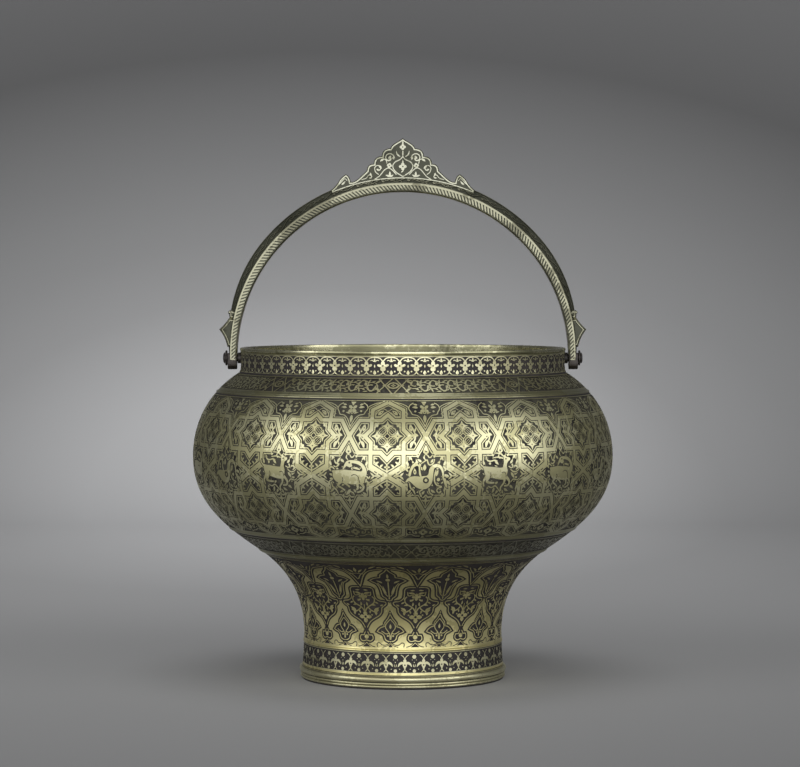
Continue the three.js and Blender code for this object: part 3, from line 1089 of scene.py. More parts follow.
@dataclass(frozen=True)
class Zone:
    """A band of the turned body that carries a repeated drawing.

    Attributes:
        outline: The body's outline.
        low: Height of its lower edge.
        high: Height of its upper edge.
        repeats: How many repeats go round.
        radius: The radius at which the drawing's widths are true.
        phase: Where the middle of the first repeat faces, in degrees to the right of the front.
    """

    outline: Outline
    low: float
    high: float
    repeats: int
    radius: float
    phase: float

    @property
    def width(self) -> float:
        """Width of one repeat."""
        return tau * self.radius / self.repeats

    @cached_property
    def height(self) -> float:
        """Height of the drawing, measured along the surface."""
        return self.outline.run_at(self.high) - self.outline.run_at(self.low)

    def place(self, across: Array, up: Array, depth: Array) -> Array:
        """Return the places in metres of points of the drawing.

        Args:
            across: How far to the right each point is.
            up: How far up it is.
            depth: How far below the surface.

        Returns:
            A row of coordinates for each point.
        """
        angle = radians(self.phase) + across / self.radius
        spot = self.outline.at(self.outline.run_at(self.low) + up, depth) * MM
        return np.column_stack([spot[:, 0] * np.sin(angle), -spot[:, 0] * np.cos(angle), spot[:, 1]])


@dataclass
class Relief:
    """An engraved sheet: drawn flat, laid on its surface, cut down to the ground and closed behind.

    Attributes:
        surface: What it is laid on.
        cut: Depth of the ground.
        thickness: How thick the sheet is.
        spacing: The longest edge of its triangles.
    """

    surface: Surface
    cut: float = 0.35
    thickness: float = 1.0
    spacing: float = 2.4

    def lay(self, name: str, sheets: Sequence[Sheet], width: float = 0.0) -> Object:
        """Lay copies of flat sheets side by side and join them.

        Args:
            name: The piece's name.
            sheets: The sheet of each repeat in turn.
            width: Width of a repeat.

        Returns:
            The thin sheet on its surface, with its flat coordinates kept as attributes.
        """
        points, faces, metal, start = [], [], [], 0
        for i, sheet in enumerate(sheets):
            points.append(sheet.points + [i * width, 0])
            faces.append(sheet.triangles + start)
            metal.append(sheet.metal)
            start += len(sheet.points)
        flat, faces, metal = np.vstack(points), np.vstack(faces), np.concatenate(metal)
        places = self.surface.place(flat[:, 0], flat[:, 1], np.zeros(len(flat)))
        piece = new_piece(name, places, (), faces.tolist())
        piece.data.polygons.foreach_set("material_index", (~metal).astype(int))
        keep(piece, across=flat[:, 0], up=flat[:, 1])
        with editing():
            bpy.ops.mesh.remove_doubles(threshold=SEAM_WELD)
        return piece

    def sink_ground(self, piece: Object) -> None:
        """Cut the ground of a thin sheet down to its depth.

        Args:
            piece: The sheet, its ground marked by the second finish.
        """
        mesh = piece.data
        kinds = np.zeros(len(mesh.polygons), int)
        mesh.polygons.foreach_get("material_index", kinds)
        select_faces(piece, kinds == 1)
        with editing(False):
            extrude()
        depth = np.where(chosen_corners(piece), self.cut, 0.0)
        place_corners(piece, self.surface.place(read(piece, "across"), read(piece, "up"), depth))
        keep(piece, depth=depth)
        owner, start = corner_owners(piece)
        sunk = np.logical_or.reduceat(depth[owner] > 0, start)
        mesh.polygons.foreach_set("material_index", sunk.astype(int))

    def engrave(self, piece: Object, low: float, high: float) -> None:
        """Cut the ground of a ring down, and close its edges and back.

        Args:
            piece: The thin sheet.
            low: The flat height of the sheet's lower edge.
            high: The flat height of its upper edge.
        """
        self.sink_ground(piece)
        up = read(piece, "up")
        self.drop_fins(piece, (up < low + TOUCH) | (up > high - TOUCH))
        self.close_back(piece)

    def drop_fins(self, piece: Object, edge: Array) -> None:
        """Delete the walls that the cut left standing along the sheet's edges.

        Args:
            piece: The engraved sheet.
            edge: Which vertices lie on its edges.
        """
        owner, start = corner_owners(piece)
        lone = np.logical_and.reduceat(edge[owner], start)
        if not lone.any():
            return
        select_faces(piece, lone)
        with editing(False):
            bpy.ops.mesh.delete(type="FACE")

    def close_back(self, piece: Object) -> None:
        """Draw the sheet's edges inwards and bridge them behind it.

        Args:
            piece: The engraved sheet.
        """
        with editing(False):
            select_border()
            extrude()
        behind = chosen_corners(piece)
        across, up, depth = (read(piece, label) for label in FLAT_LABELS)
        depth[behind] = self.thickness
        keep(piece, depth=depth)
        place_corners(piece, self.surface.place(across, up, depth))
        with editing(False):
            bpy.ops.mesh.remove_doubles(threshold=BACK_WELD, use_unselected=False)
        self.bridge_back(piece)
        with editing():
            face_outwards()

    def bridge_back(self, piece: Object) -> None:
        """Bridge the two edges behind the sheet, with rows that follow the surface.

        Args:
            piece: The engraved sheet, its edges drawn inwards.
        """
        up = read(piece, "up")
        low, high = up.min(), up.max()
        before = len(piece.data.vertices)
        rows = max(ceil((high - low) / self.spacing) - 1, 0)
        with editing(False):
            select_border()
            bpy.ops.mesh.bridge_edge_loops(number_cuts=rows, interpolation="LINEAR")
        places = corners_of(piece)
        across, up = read(piece, "across"), read(piece, "up")
        new = np.arange(len(places)) >= before
        if new.any():
            ends = self.surface.place(np.zeros(2), np.array([low, high]), np.full(2, self.thickness))[:, 2]
            share = (places[new, 2] - ends[0]) / (ends[1] - ends[0])
            up[new] = low + share * (high - low)
            angle = np.arctan2(places[new, 0], -places[new, 1])
            across[new] = (angle - radians(self.surface.phase)) * self.surface.radius
            places[new] = self.surface.place(across[new], up[new], np.full(new.sum(), self.thickness))
            place_corners(piece, places)
            keep(piece, across=across, up=up)

    def map_sheet(self, piece: Object, around: float = 0.0, over: float = 0.0) -> None:
        """Give the piece a map that follows the surface, so that a bake keeps its edges.

        Args:
            piece: The finished relief.
            around: The flat width after which it meets itself, or 0.
            over: The flat height after which it meets itself, or 0.
        """
        mesh = piece.data
        owner, start = corner_owners(piece)
        face = np.repeat(np.arange(len(start)), np.diff(np.r_[start, len(owner)]))
        sides = []
        for label, period in (("across", around), ("up", over)):
            flat = read(piece, label)
            side = ((flat - flat.min()) / (period or flat.max() - flat.min()))[owner]
            if period:
                side %= 1.0
                middle = [np.bincount(face, turn(side * tau)) for turn in (np.sin, np.cos)]
                side += np.round((np.arctan2(*middle) / tau % 1.0)[face] - side)
            sides.append(side)
        layer = mesh.uv_layers.new(name=BAKE_MAP)
        layer.data.foreach_set("uv", np.column_stack(sides).ravel())
        forget(piece)


@dataclass
class Sleeve:
    """One engraved band that goes round the body, let into a channel of the turned core."""

    name: str
    zone: Zone
    drawings: Sequence[Drawing]
    spacing: float = 2.4
    cut: float = 0.35
    low: float = 0.0
    high: Optional[float] = None

    def build(self, finishes: Sequence[Finish]) -> Object:
        """Make the band from its drawings, taken in turn round the body.

        Args:
            finishes: The finishes of metal and ground.

        Returns:
            The finished band.
        """
        zone, width = self.zone, self.zone.width
        low, high = self.low, zone.height if self.high is None else self.high
        limit = oblong(-width / 2, width / 2, low, high)
        sides = self.side_points(low, high)
        sheets = [cut_sheet(d, limit, self.spacing, sides) for d in self.drawings]
        relief = Relief(zone, self.cut, spacing=self.spacing)
        order = [sheets[i % len(sheets)] for i in range(zone.repeats)]
        piece = relief.lay(self.name, order, width)
        relief.engrave(piece, low, high)
        relief.map_sheet(piece, around=width * zone.repeats)
        return finish_piece(piece, Body.PAIL, finishes)

    def side_points(self, low: float, high: float) -> list[Array]:
        """Return the points that both sides and both edges of a repeat share.

        Args:
            low: The flat height of the sheet's lower edge.
            high: The flat height of its upper edge.

        Returns:
            The points along each of the four sides.
        """
        width = self.zone.width
        across = np.linspace(-width / 2, width / 2, ceil(width / self.spacing) + 1)
        up = np.linspace(low, high, ceil((high - low) / self.spacing) + 1)
        return [
            np.column_stack([across, np.full(len(across), low)]),
            np.column_stack([across, np.full(len(across), high)]),
            np.column_stack([np.full(len(up), -width / 2), up]),
            np.column_stack([np.full(len(up), width / 2), up]),
        ]


# Ornaments drawn on the flat


def blossom(radius: float, dark: float = 0.0, turn: float = 0.0, broad: float = 0.55) -> Drawing:
    """Return a four-petalled flower.

    Args:
        radius: Length of a petal from the middle.
        dark: Radius of its dark heart.
        turn: How far it is turned, in degrees.
        broad: Width of a petal as a share of its length.

    Returns:
        The flower, its middle at the origin.
    """
    wide = broad * radius
    side = [(0, -0.1 * radius), (wide * 0.5, 0.35 * radius), (wide * 0.55, 0.7 * radius), (0, radius)]
    petal, flower = Drawing().area(smooth(both_sides(side), 2, True)), Drawing()
    for quarter in range(4):
        flower.add(petal, turn=turn + 90 * quarter)
    if dark:
        flower.hole(0, 0, dark)
    return flower


def curl(size: float, width: float, turns: float = 1.1, bud: float = 1.5) -> Array:
    """Return a spiral line that starts at the origin going up and rolls in to the right.

    Args:
        size: Radius of its first bend.
        width: Its width at the start.
        turns: How often it goes round.
        bud: How many times as wide it ends.

    Returns:
        Its outline.
    """
    t = np.linspace(0, 1, 12)
    radius = size * (1 - 0.72 * t)
    angle = pi - t * turns * tau
    spine = np.column_stack([size + radius * np.cos(angle), radius * np.sin(angle)])
    return ribbon(spine, width * (1 + (bud - 1) * t**3))


@dataclass
class StarLattice:
    """The broad strapwork on the belly: two rows of eight-pointed stars with animals between them.

    Attributes:
        half: Half the side of a star's square.
        straight: How far its straps run before they bend.
        reach: Where the straps of neighbouring stars cross.
        strap: Width of a strap.
        groove: Width over the dark lines beside it.
        fillet: Width over the thin bright lines beside those.
        point_half: Half the width of a star's side point.
        point_rise: How far that point stands out.
        row_low: Lower end of the middle row.
        row_high: Upper end of the middle row.
    """

    half: float = 7.75
    straight: float = 13.75
    reach: float = 18.28
    strap: float = 1.9
    groove: float = 2.8
    fillet: float = 3.75
    point_half: float = 3.1
    point_rise: float = 3.1
    row_low: float = -10.6
    row_high: float = 11.3

    def straps(self) -> list[Array]:
        """Return the middle lines of the four straps round a star.

        Returns:
            Four open lines round the origin.
        """
        side = [
            (-self.reach, 0),
            (-self.straight, self.half),
            (-self.point_half, self.half),
            (0, self.half + self.point_rise),
            (self.point_half, self.half),
            (self.straight, self.half),
            (self.reach, 0),
        ]
        turned = Drawing().area(side)
        return [Drawing().add(turned, turn=90 * k).shapes[0][0] for k in range(4)]

    def star(self) -> Drawing:
        """Draw what fills a star: a small lozenge, four discs, four blossoms and corner buds.

        Returns:
            The drawing, its origin at the star's middle.
        """
        out = Drawing()
        for k in range(4):
            out.add(self.star_quarter(), turn=90 * k)
        out.area([(0, 1.7), (1.7, 0), (0, -1.7), (-1.7, 0)])
        out.area([(0, 1.2), (1.2, 0), (0, -1.2), (-1.2, 0)], False)
        return out

    def star_quarter(self) -> Drawing:
        """Draw a quarter of a star's filling.

        Returns:
            The drawing, its origin at the star's middle.
        """
        out, flower = Drawing(), Drawing()
        out.dot(2.45, 2.45, 1.85, 16).hole(2.45, 2.45, 1.56, 14)
        for shift in (-0.9, -0.3, 0.3, 0.9):
            out.line([(1.35 + shift, 3.55 + shift), (3.55 + shift, 1.35 + shift)], 0.18)
        tips = [(0, 7.7), (0.5, 6.3), (1.05, 5.6), (1.8, 5.25), (3.1, 4.95), (1.8, 4.55), (1.0, 4.0)]
        flower.area(tips + [(0.45, 3.1), (0.26, 2.0), (-0.01, 1.4)])
        out.both(flower).hole(0, 4.95, 0.34, 6)
        for x, y, size in ((5.1, 5.1, 0.75), (6.05, 4.3, 0.5), (4.3, 6.05, 0.5), (6.0, 6.0, 0.5)):
            out.dot(x, y, size)
        return out

    def side_cell(self) -> Drawing:
        """Draw the curling stem between a star's side point and the crossing to its right.

        Returns:
            The drawing, its origin at the star's middle.
        """
        out = Drawing()
        out.sweep([(11.2, 5.4), (12.4, 3.2), (13.3, 0.7), (13.1, -1.6), (11.9, -3.6), (11.0, -5.4)], 0.72)
        out.leaf((11.7, 2.2), (10.9, 5.9), 1.7, 0.15)
        out.hole(11.3, 4.0, 0.3, 6)
        out.leaves(
            (12.5, -2.2, 10.8, -5.7, 1.5, -0.25), (12.6, 0.9, 14.9, 0.1, 1.5),
            (13.1, 0.0, 11.2, 0.9, 1.0, 0.2),
        )
        out.dot(11.6, -1.3, 0.55)
        out.leaves((13.0, 2.0, 13.6, 4.4, 0.9, -0.15), (12.9, -2.6, 13.4, -4.6, 0.8, 0.15))
        return out

    def crown_cell(self) -> Drawing:
        """Draw the two eye-shaped leaves above an upper star.

        Returns:
            The drawing, its origin at the star's middle.
        """
        half = Drawing()
        half.sweep([(0.7, 13.4), (2.4, 14.4), (4.6, 13.2), (6.0, 10.9)], 0.4)
        half.line([(1.3, 12.3), (3.9, 9.9), (5.9, 9.9)], 0.4)
        half.leaf((4.9, 10.6), (2.0, 13.4), 1.9, -0.2)
        half.hole(3.2, 12.3, 0.33, 6)
        return Drawing().both(half)

    def curl_cell(self) -> Drawing:
        """Draw the double curl with a cross flower between two star rows.

        Returns:
            The drawing, its origin at the star's middle.
        """
        half = Drawing()
        half.sweep([(0.3, 16.0), (2.2, 15.2), (4.4, 13.6), (6.0, 11.5), (5.7, 10.2), (4.6, 10.7)], 0.55)
        half.leaves((3.2, 14.6, 1.7, 13.0, 0.95, 0.25), (5.0, 13.0, 3.7, 11.9, 0.95, 0.25))
        out = Drawing().both(half)
        out.add(blossom(1.35, 0.25), (0, 14.3)).leaf((0, 15.3), (0, 17.2), 0.9)
        return out

    def network(self, out: Drawing, width: float, metal: bool) -> None:
        """Lay every strap of the tile at one width.

        Args:
            out: The drawing that they are laid on.
            width: Their width.
            metal: Whether they are metal.
        """
        for x in (-self.reach, self.reach):
            for y in (-self.reach, self.reach):
                for line in self.straps():
                    out.line(line + [x, y], width, metal)

    def top_cell(self) -> Drawing:
        """Draw the lobed palmette that hangs between two upper stars.

        Returns:
            The drawing, its origin at the animal's middle.
        """
        half = Drawing()
        rim = [(0, 22.9), (0.75, 24.6), (2.1, 27.2), (3.9, 28.9), (6.1, 29.4), (6.9, 31.0), (7.9, 32.8)]
        half.sweep(rim + [(7.2, 34.9), (5.4, 36.2)], 0.5)
        half.sweep([(7.7, 33.2), (9.3, 34.6), (12.0, 35.9), (15.0, 36.6)], 0.5, 2)
        half.leaves((3.2, 33.2, 6.2, 33.5, 1.5, 0.3), (3.4, 34.9, 5.6, 35.6, 1.1))
        half.dot(4.6, 31.2, 0.6)
        half.leaf((0.9, 29.6), (3.4, 30.5), 0.9, 0.3)
        half.line([(8.3, 29.5), (10.0, 31.4), (10.0, 28.6), (8.6, 28.6)], 0.4)
        out = Drawing().both(half)
        out.add(blossom(2.9, 0.35, 45, 0.5), (0, 32.6))
        out.dot(0, 30.6, 0.95, 10)
        out.hole(0, 30.6, 0.4, 6)
        out.leaf((0, 29.2), (0, 24.6), 1.7)
        out.area([(-1.4, 36.9), (0, 34.4), (1.4, 36.9)])
        return out

    def bottom_cell(self) -> Drawing:
        """Draw the rosette between two curling leaves under the lower stars.

        Returns:
            The drawing, its origin at the animal's middle.
        """
        half = Drawing()
        half.sweep([(0.4, -24.2), (1.6, -26.4), (3.9, -27.2), (5.6, -28.8), (5.0, -30.8), (3.2, -31.0)], 0.6)
        half.leaves((3.6, -31.0, 4.4, -29.2, 1.2, 0.2), (5.4, -28.6, 8.6, -27.6, 1.2, 0.3))
        half.sweep([(1.6, -33.2), (4.2, -33.0), (6.6, -31.6), (8.6, -32.4)], 0.6)
        half.dot(7.2, -30.2, 0.55)
        half.leaf((8.2, -32.2), (9.3, -30.0), 0.9)
        out = Drawing().both(half)
        out.add(blossom(2.5, 0.75, 0, 0.8), (0, -30.0))
        out.leaf((0, -26.9), (0, -24.3), 1.0)
        out.area([(-1.3, -34.4), (0, -32.9), (1.3, -34.4)])
        return out

    def tile(self, animal: Drawing) -> Drawing:
        """Return one repeat: the cells from border to border, with an animal in the middle one.

        Args:
            animal: What fills the middle cell.

        Returns:
            The drawing, its origin at the animal's middle.
        """
        out = Drawing()
        self.network(out, self.fillet, True)
        self.network(out, self.groove, False)
        self.network(out, self.strap, True)
        for x in (-self.reach, self.reach):
            for y in (-self.reach, self.reach):
                out.add(self.star(), (x, y))
                out.add(self.side_cell(), (x, y))
                out.add(self.side_cell(), (x, y), flip=True)
            out.add(self.crown_cell(), (x, self.reach))
            out.add(self.curl_cell(), (x, self.reach), turn=180)
            out.add(self.curl_cell(), (x, -self.reach))
            out.add(self.curl_cell(), (x, -self.reach), turn=180)
        out.add(self.top_cell()).add(self.bottom_cell()).add(animal)
        return self.fitted(out)

    def fitted(self, drawing: Drawing) -> Drawing:
        """Stretch the rows to their true heights, the middle row most.

        Args:
            drawing: The repeat as drawn.

        Returns:
            The stretched repeat.
        """
        drawn = [-60.0, -35.5, -26.03, -10.53, 10.53, 26.03, 36.0, 60.0]
        true = [-60.0, -35.5, -26.9, self.row_low, self.row_high, 26.8, 36.0, 60.0]
        out = Drawing()
        for outline, metal in drawing.shapes:
            out.area(np.column_stack([outline[:, 0], np.interp(outline[:, 1], drawn, true)]), metal)
        return out


class Animal(Enum):
    """The creatures of the belly's middle row, in their order round the pail."""

    SWAN = "swan"
    IBEX = "ibex"
    TURNING = "animal looking back"

    def drawn(self) -> Drawing:
        """Draw the creature with the leaves round it, its cell's middle at the origin.

        Returns:
            The drawing, its origin at the cell's middle.
        """
        creature = {Animal.SWAN: swan, Animal.IBEX: ibex, Animal.TURNING: turning_beast}[self]()
        out = Drawing().both(cell_leaves())
        for outline, metal in creature.shapes:
            if metal:
                out.line(outline, CREATURE_MARGIN, False, True)
        return out.add(creature)


def hanging_palmette() -> Drawing:
    """Draw the small palmette under the upper crossing of an animal's cell.

    Returns:
        The drawing, its origin at the cell's middle.
    """
    out = Drawing()
    out.figure(both_sides([(0, 142), (10, 122), (14, 108), (6, 100), (0, 92)]))
    out.hole(0, 11.0, 0.45, 6)
    out.stroke([(-6, 96), (-10, 82), (-2, 72)], (0.3, 0.7, 0.3))
    out.stroke([(6, 96), (14, 84), (24, 86), (30, 96)], (0.4, 0.6, 0.3))
    return out


def cell_leaves() -> Drawing:
    """Draw the leaves in the right-hand corners of an animal's cell.

    Returns:
        The drawing, its origin at the cell's middle.
    """
    out = Drawing()
    out.stroke([(62, 92), (76, 84), (80, 70)], (0.3, 0.8, 0.4))
    out.leaf((6.4, 7.0), (8.8, 9.2), 1.0, 0.2)
    out.stroke([(96, 46), (116, 22), (134, 8), (148, 2)], (0.4, 0.6, 0.5, 0.3))
    out.leaves((12.2, 1.6, 11.8, 4.6, 1.1, 0.2), (11.4, -1.6, 14.2, -1.4, 1.0, -0.2))
    out.stroke([(126, -14), (112, -38), (98, -56)], (0.3, 0.6, 0.3))
    out.leaf((8.4, -7.2), (9.6, -4.8), 1.0)
    out.stroke([(30, 104), (46, 98), (58, 104)], (0.3, 0.7, 0.3)).leaf((4.4, 9.6), (3.6, 8.0), 0.8)
    out.stroke([(104, 30), (98, 40), (102, 52), (112, 46)], (0.4, 0.6, 0.8, 0.5))
    out.leaves(
        (14.4, 0.0, 11.2, 0.1, 0.75), (12.4, 0.1, 10.5, 1.7, 0.8, 0.2), (12.4, -0.1, 10.5, -1.7, 0.8, -0.2),
        (11.6, -3.0, 13.2, -4.6, 0.9, 0.2), (13.0, 0.6, 14.8, 1.8, 0.7),
    )
    out.stroke([(0, -86), (10, -98), (26, -94), (28, -84)], (0.4, 0.8, 0.8, 0.5))
    out.stroke([(0, -104), (8, -116), (18, -110)], (0.3, 0.7, 0.4)).leaf((0.01, -9.4), (0.02, -14.2), 1.0)
    out.stroke([(60, -82), (76, -94), (90, -86)], (0.4, 0.8, 0.4)).leaf((5.4, -9.4), (3.6, -10.4), 0.8)
    out.stroke([(66, 28), (80, 40), (92, 30), (82, 20)], (0.5, 0.8, 0.9, 0.5))
    out.stroke([(72, -34), (86, -24), (97, -36), (86, -46)], (0.5, 0.8, 0.9, 0.5))
    for *ends, lean in (
        (2.0, 6.0, 4.4, 7.6, 0.2), (5.0, 5.0, 6.6, 7.0, -0.2), (9.3, 6.6, 8.0, 4.6, 0.1),
        (7.0, -0.4, 9.4, 0.8, 0.2), (9.2, -1.2, 7.0, -1.4, 0.2), (5.0, -5.0, 7.2, -6.6, 0.2),
        (2.2, -6.2, 4.6, -7.6, -0.2), (0.6, -6.8, 2.2, -9.0, 0.1), (4.8, 2.2, 6.4, 3.8, 0.2),
        (4.2, -2.6, 6.2, -3.8, -0.2), (8.6, -8.8, 6.6, -7.4, 0.1), (1.4, 2.6, 3.2, 4.4, 0.1),
        (1.2, -3.2, 3.4, -4.6, 0.1),
    ):
        out.leaves((*ends, 1.15, lean))
    return out


def swan() -> Drawing:
    """Draw the long-necked bird with its raised wing.

    Returns:
        The drawing, its origin at the cell's middle.
    """
    out = hanging_palmette()
    body = [(-95, -22), (-80, -6), (-55, 0), (-30, -2), (-14, 0), (4, 2), (12, 14), (14, 30), (26, 46)]
    body += [(44, 54), (62, 52), (76, 40), (83, 20), (84, 2), (92, -12), (98, -34), (103, -56), (92, -48)]
    body += [(84, -28), (77, -8), (75, 10), (71, 26), (60, 37), (46, 39), (37, 32), (34, 14), (32, -6)]
    body += [(27, -32), (14, -50), (-4, -59), (-28, -58), (-50, -48), (-68, -30), (-82, -22), (-94, -30)]
    out.figure(body)
    out.figure([(84, 4), (92, 8), (104, 4), (108, -4), (96, -8)])
    out.hole(8.8, -0.7, 0.42)
    out.hole(-0.1, -1.9, 1.45, 14)
    out.dot(-0.1, -1.9, 0.7, 10)
    wing = [(-20, -6), (-26, 16), (-28, 36), (-24, 52), (-36, 62), (-48, 78), (-48, 64), (-62, 54)]
    wing += [(-74, 34), (-84, 4), (-74, -2), (-68, 20), (-58, 38), (-46, 46), (-36, 44), (-34, 24), (-32, 4)]
    out.figure(wing)
    out.hole(-3.6, 5.6, 0.42)
    out.leaf((-5.2, 0.6), (-5.4, 3.6), 1.5)
    out.hole(-5.3, 1.9, 0.4, 6)
    out.stroke([(-24, 56), (-8, 66), (4, 72), (10, 56), (18, 50), (34, 58), (40, 76)], (0.4, 0.6, 0.6, 0.4))
    out.leaf((-0.8, 2.4), (-0.6, 5.4), 1.6)
    out.stroke([(46, 28), (40, 4), (40, -24), (52, -42), (74, -48)], (0.4, 0.6, 0.7, 0.5))
    out.leaf((4.6, -0.2), (5.8, 2.8), 1.4, 0.2)
    out.dot(5.8, -1.6, 0.8)
    out.stroke([(76, -50), (58, -56), (52, -68), (64, -78), (72, -68)], (0.5, 0.6, 0.6, 0.9))
    out.leaf((9.6, -2.0), (11.6, -4.4), 1.2)
    out.stroke([(-14, -60), (-30, -72), (-20, -96)], (0.8, 0.6, 0.9))
    out.stroke([(14, -56), (18, -76), (36, -90)], (0.8, 0.6, 0.9))
    out.stroke([(-78, -32), (-72, -54), (-60, -64), (-50, -84)], (0.4, 0.7, 0.9, 0.5))
    out.leaf((-7.0, -6.2), (-9.2, -8.6), 1.1)
    return out


def ibex() -> Drawing:
    """Draw the running goat with swept-back horns.

    Returns:
        The drawing, its origin at the cell's middle.
    """
    out = hanging_palmette()
    body = [(-94, 38), (-84, 40), (-66, 38), (-40, 36), (-14, 33), (8, 32), (14, 42), (17, 60), (16, 76)]
    body += [(21, 90), (28, 84), (34, 80), (50, 76), (50, 66), (40, 60), (34, 50), (32, 36), (37, 20)]
    body += [(34, 0), (26, -20), (0, -22), (-24, -18), (-46, -12), (-62, -14), (-76, -6), (-84, 12)]
    out.figure(body + [(-86, 26)])
    out.hole(2.8, 7.1, 0.4)
    out.stroke([(16, 84), (-4, 96), (-34, 99)], (0.6, 0.6, 0.35))
    out.stroke([(14, 74), (-14, 80), (-42, 76)], (0.6, 0.6, 0.35))
    out.stroke([(-90, 38), (-102, 48), (-100, 62)], (0.9, 0.6, 0.4))
    out.stroke([(6, 8), (18, 12), (28, 4), (30, -18)], 0.3, False)
    out.stroke([(-52, 12), (-50, -4), (-58, -14)], 0.3, False)
    out.stroke([(-62, -8), (-70, -30), (-46, -36), (-30, -36)], (1.6, 1.1, 0.9, 0.8))
    out.stroke([(-74, -6), (-88, -30), (-84, -52)], (1.4, 0.9, 0.8))
    out.stroke([(30, -10), (48, -30), (44, -48), (22, -52)], (1.5, 1.0, 0.9, 0.8))
    out.stroke([(22, -16), (20, -38), (4, -58), (6, -76)], (1.4, 0.9, 0.8, 0.8))
    out.stroke([(-74, 84), (-70, 68), (-52, 62), (-34, 66), (-18, 60)], (0.4, 0.7, 0.6, 0.9))
    out.leaf((-3.0, 6.2), (-1.0, 4.6), 1.2)
    out.dot(-5.6, 5.2, 0.6)
    out.stroke([(42, 38), (56, 30), (66, 36), (60, 48)], (0.4, 0.6, 0.8))
    out.stroke([(52, 24), (70, 12), (88, 14), (100, 24)], (0.4, 0.7, 0.5, 0.4))
    out.leaf((5.4, 1.0), (7.4, -1.8), 1.3, 0.2)
    out.stroke([(56, -36), (70, -22), (90, -26), (104, -18)], (0.4, 0.6, 0.5, 0.4))
    out.stroke([(-64, -50), (-44, -58), (-26, -50), (-8, -66), (10, -88)], (0.4, 0.6, 0.7, 0.6, 0.3))
    out.leaves((-3.0, -5.6, -4.0, -8.6, 1.2, 0.2), (-7.2, -6.6, -5.4, -8.4, 1.0))
    return out


def turning_beast() -> Drawing:
    """Draw the long-necked animal whose head is turned over its back.

    Returns:
        The drawing, its origin at the cell's middle.
    """
    out = hanging_palmette()
    body = [(-75, 12), (-80, 22), (-62, 24), (-40, 26), (-22, 28), (6, 25), (34, 24), (60, 20), (67, 26)]
    body += [(66, 36), (54, 48), (36, 55), (16, 57), (20, 44), (6, 38), (-8, 44), (-20, 32), (-27, 30)]
    body += [(-20, 48), (-10, 64), (6, 70), (28, 70), (52, 66), (74, 50), (86, 30), (88, 8), (78, -14)]
    body += [(74, -32), (58, -36), (42, -38), (16, -39), (-8, -34), (-24, -22), (-36, -28), (-54, -30)]
    body += [(-70, -16), (-77, 0)]
    out.figure(body)
    out.hole(0.5, 5.9, 0.42)
    out.stroke([(14, 0), (28, 6), (44, 0), (50, -14), (54, -32)], 0.32, False)
    out.stroke([(-30, -8), (-26, -18), (-34, -34)], 0.32, False)
    out.stroke([(24, 36), (40, 34), (56, 28)], (0.5, 1.0, 0.5))
    out.stroke([(-34, -24), (-52, -44), (-34, -56), (-18, -68)], (1.5, 1.0, 0.8, 0.8))
    out.stroke([(-28, -26), (-10, -38), (6, -52)], (1.2, 0.9, 0.8))
    out.stroke([(60, -32), (72, -50), (62, -68), (40, -76)], (1.5, 1.0, 0.9, 0.8))
    out.stroke([(42, -36), (44, -56), (36, -64)], (1.3, 0.9, 0.8))
    out.stroke([(-68, 74), (-62, 58), (-46, 52), (-58, 40), (-72, 44)], (0.4, 0.8, 0.7, 0.4))
    out.leaf((-5.4, 5.6), (-3.6, 8.4), 1.1, 0.2)
    out.stroke([(86, 0), (96, -10), (104, -2)], (0.5, 0.8, 0.4))
    out.stroke([(-84, -28), (-78, -50), (-64, -62), (-52, -84)], (0.4, 0.8, 0.8, 0.4))
    out.leaves((-7.0, -5.6, -9.4, -7.8, 1.1), (1.0, -6.0, -1.8, -9.0, 1.5, 0.2))
    out.stroke([(2, -70), (20, -78), (26, -92)], (0.4, 0.7, 0.3))
    return out


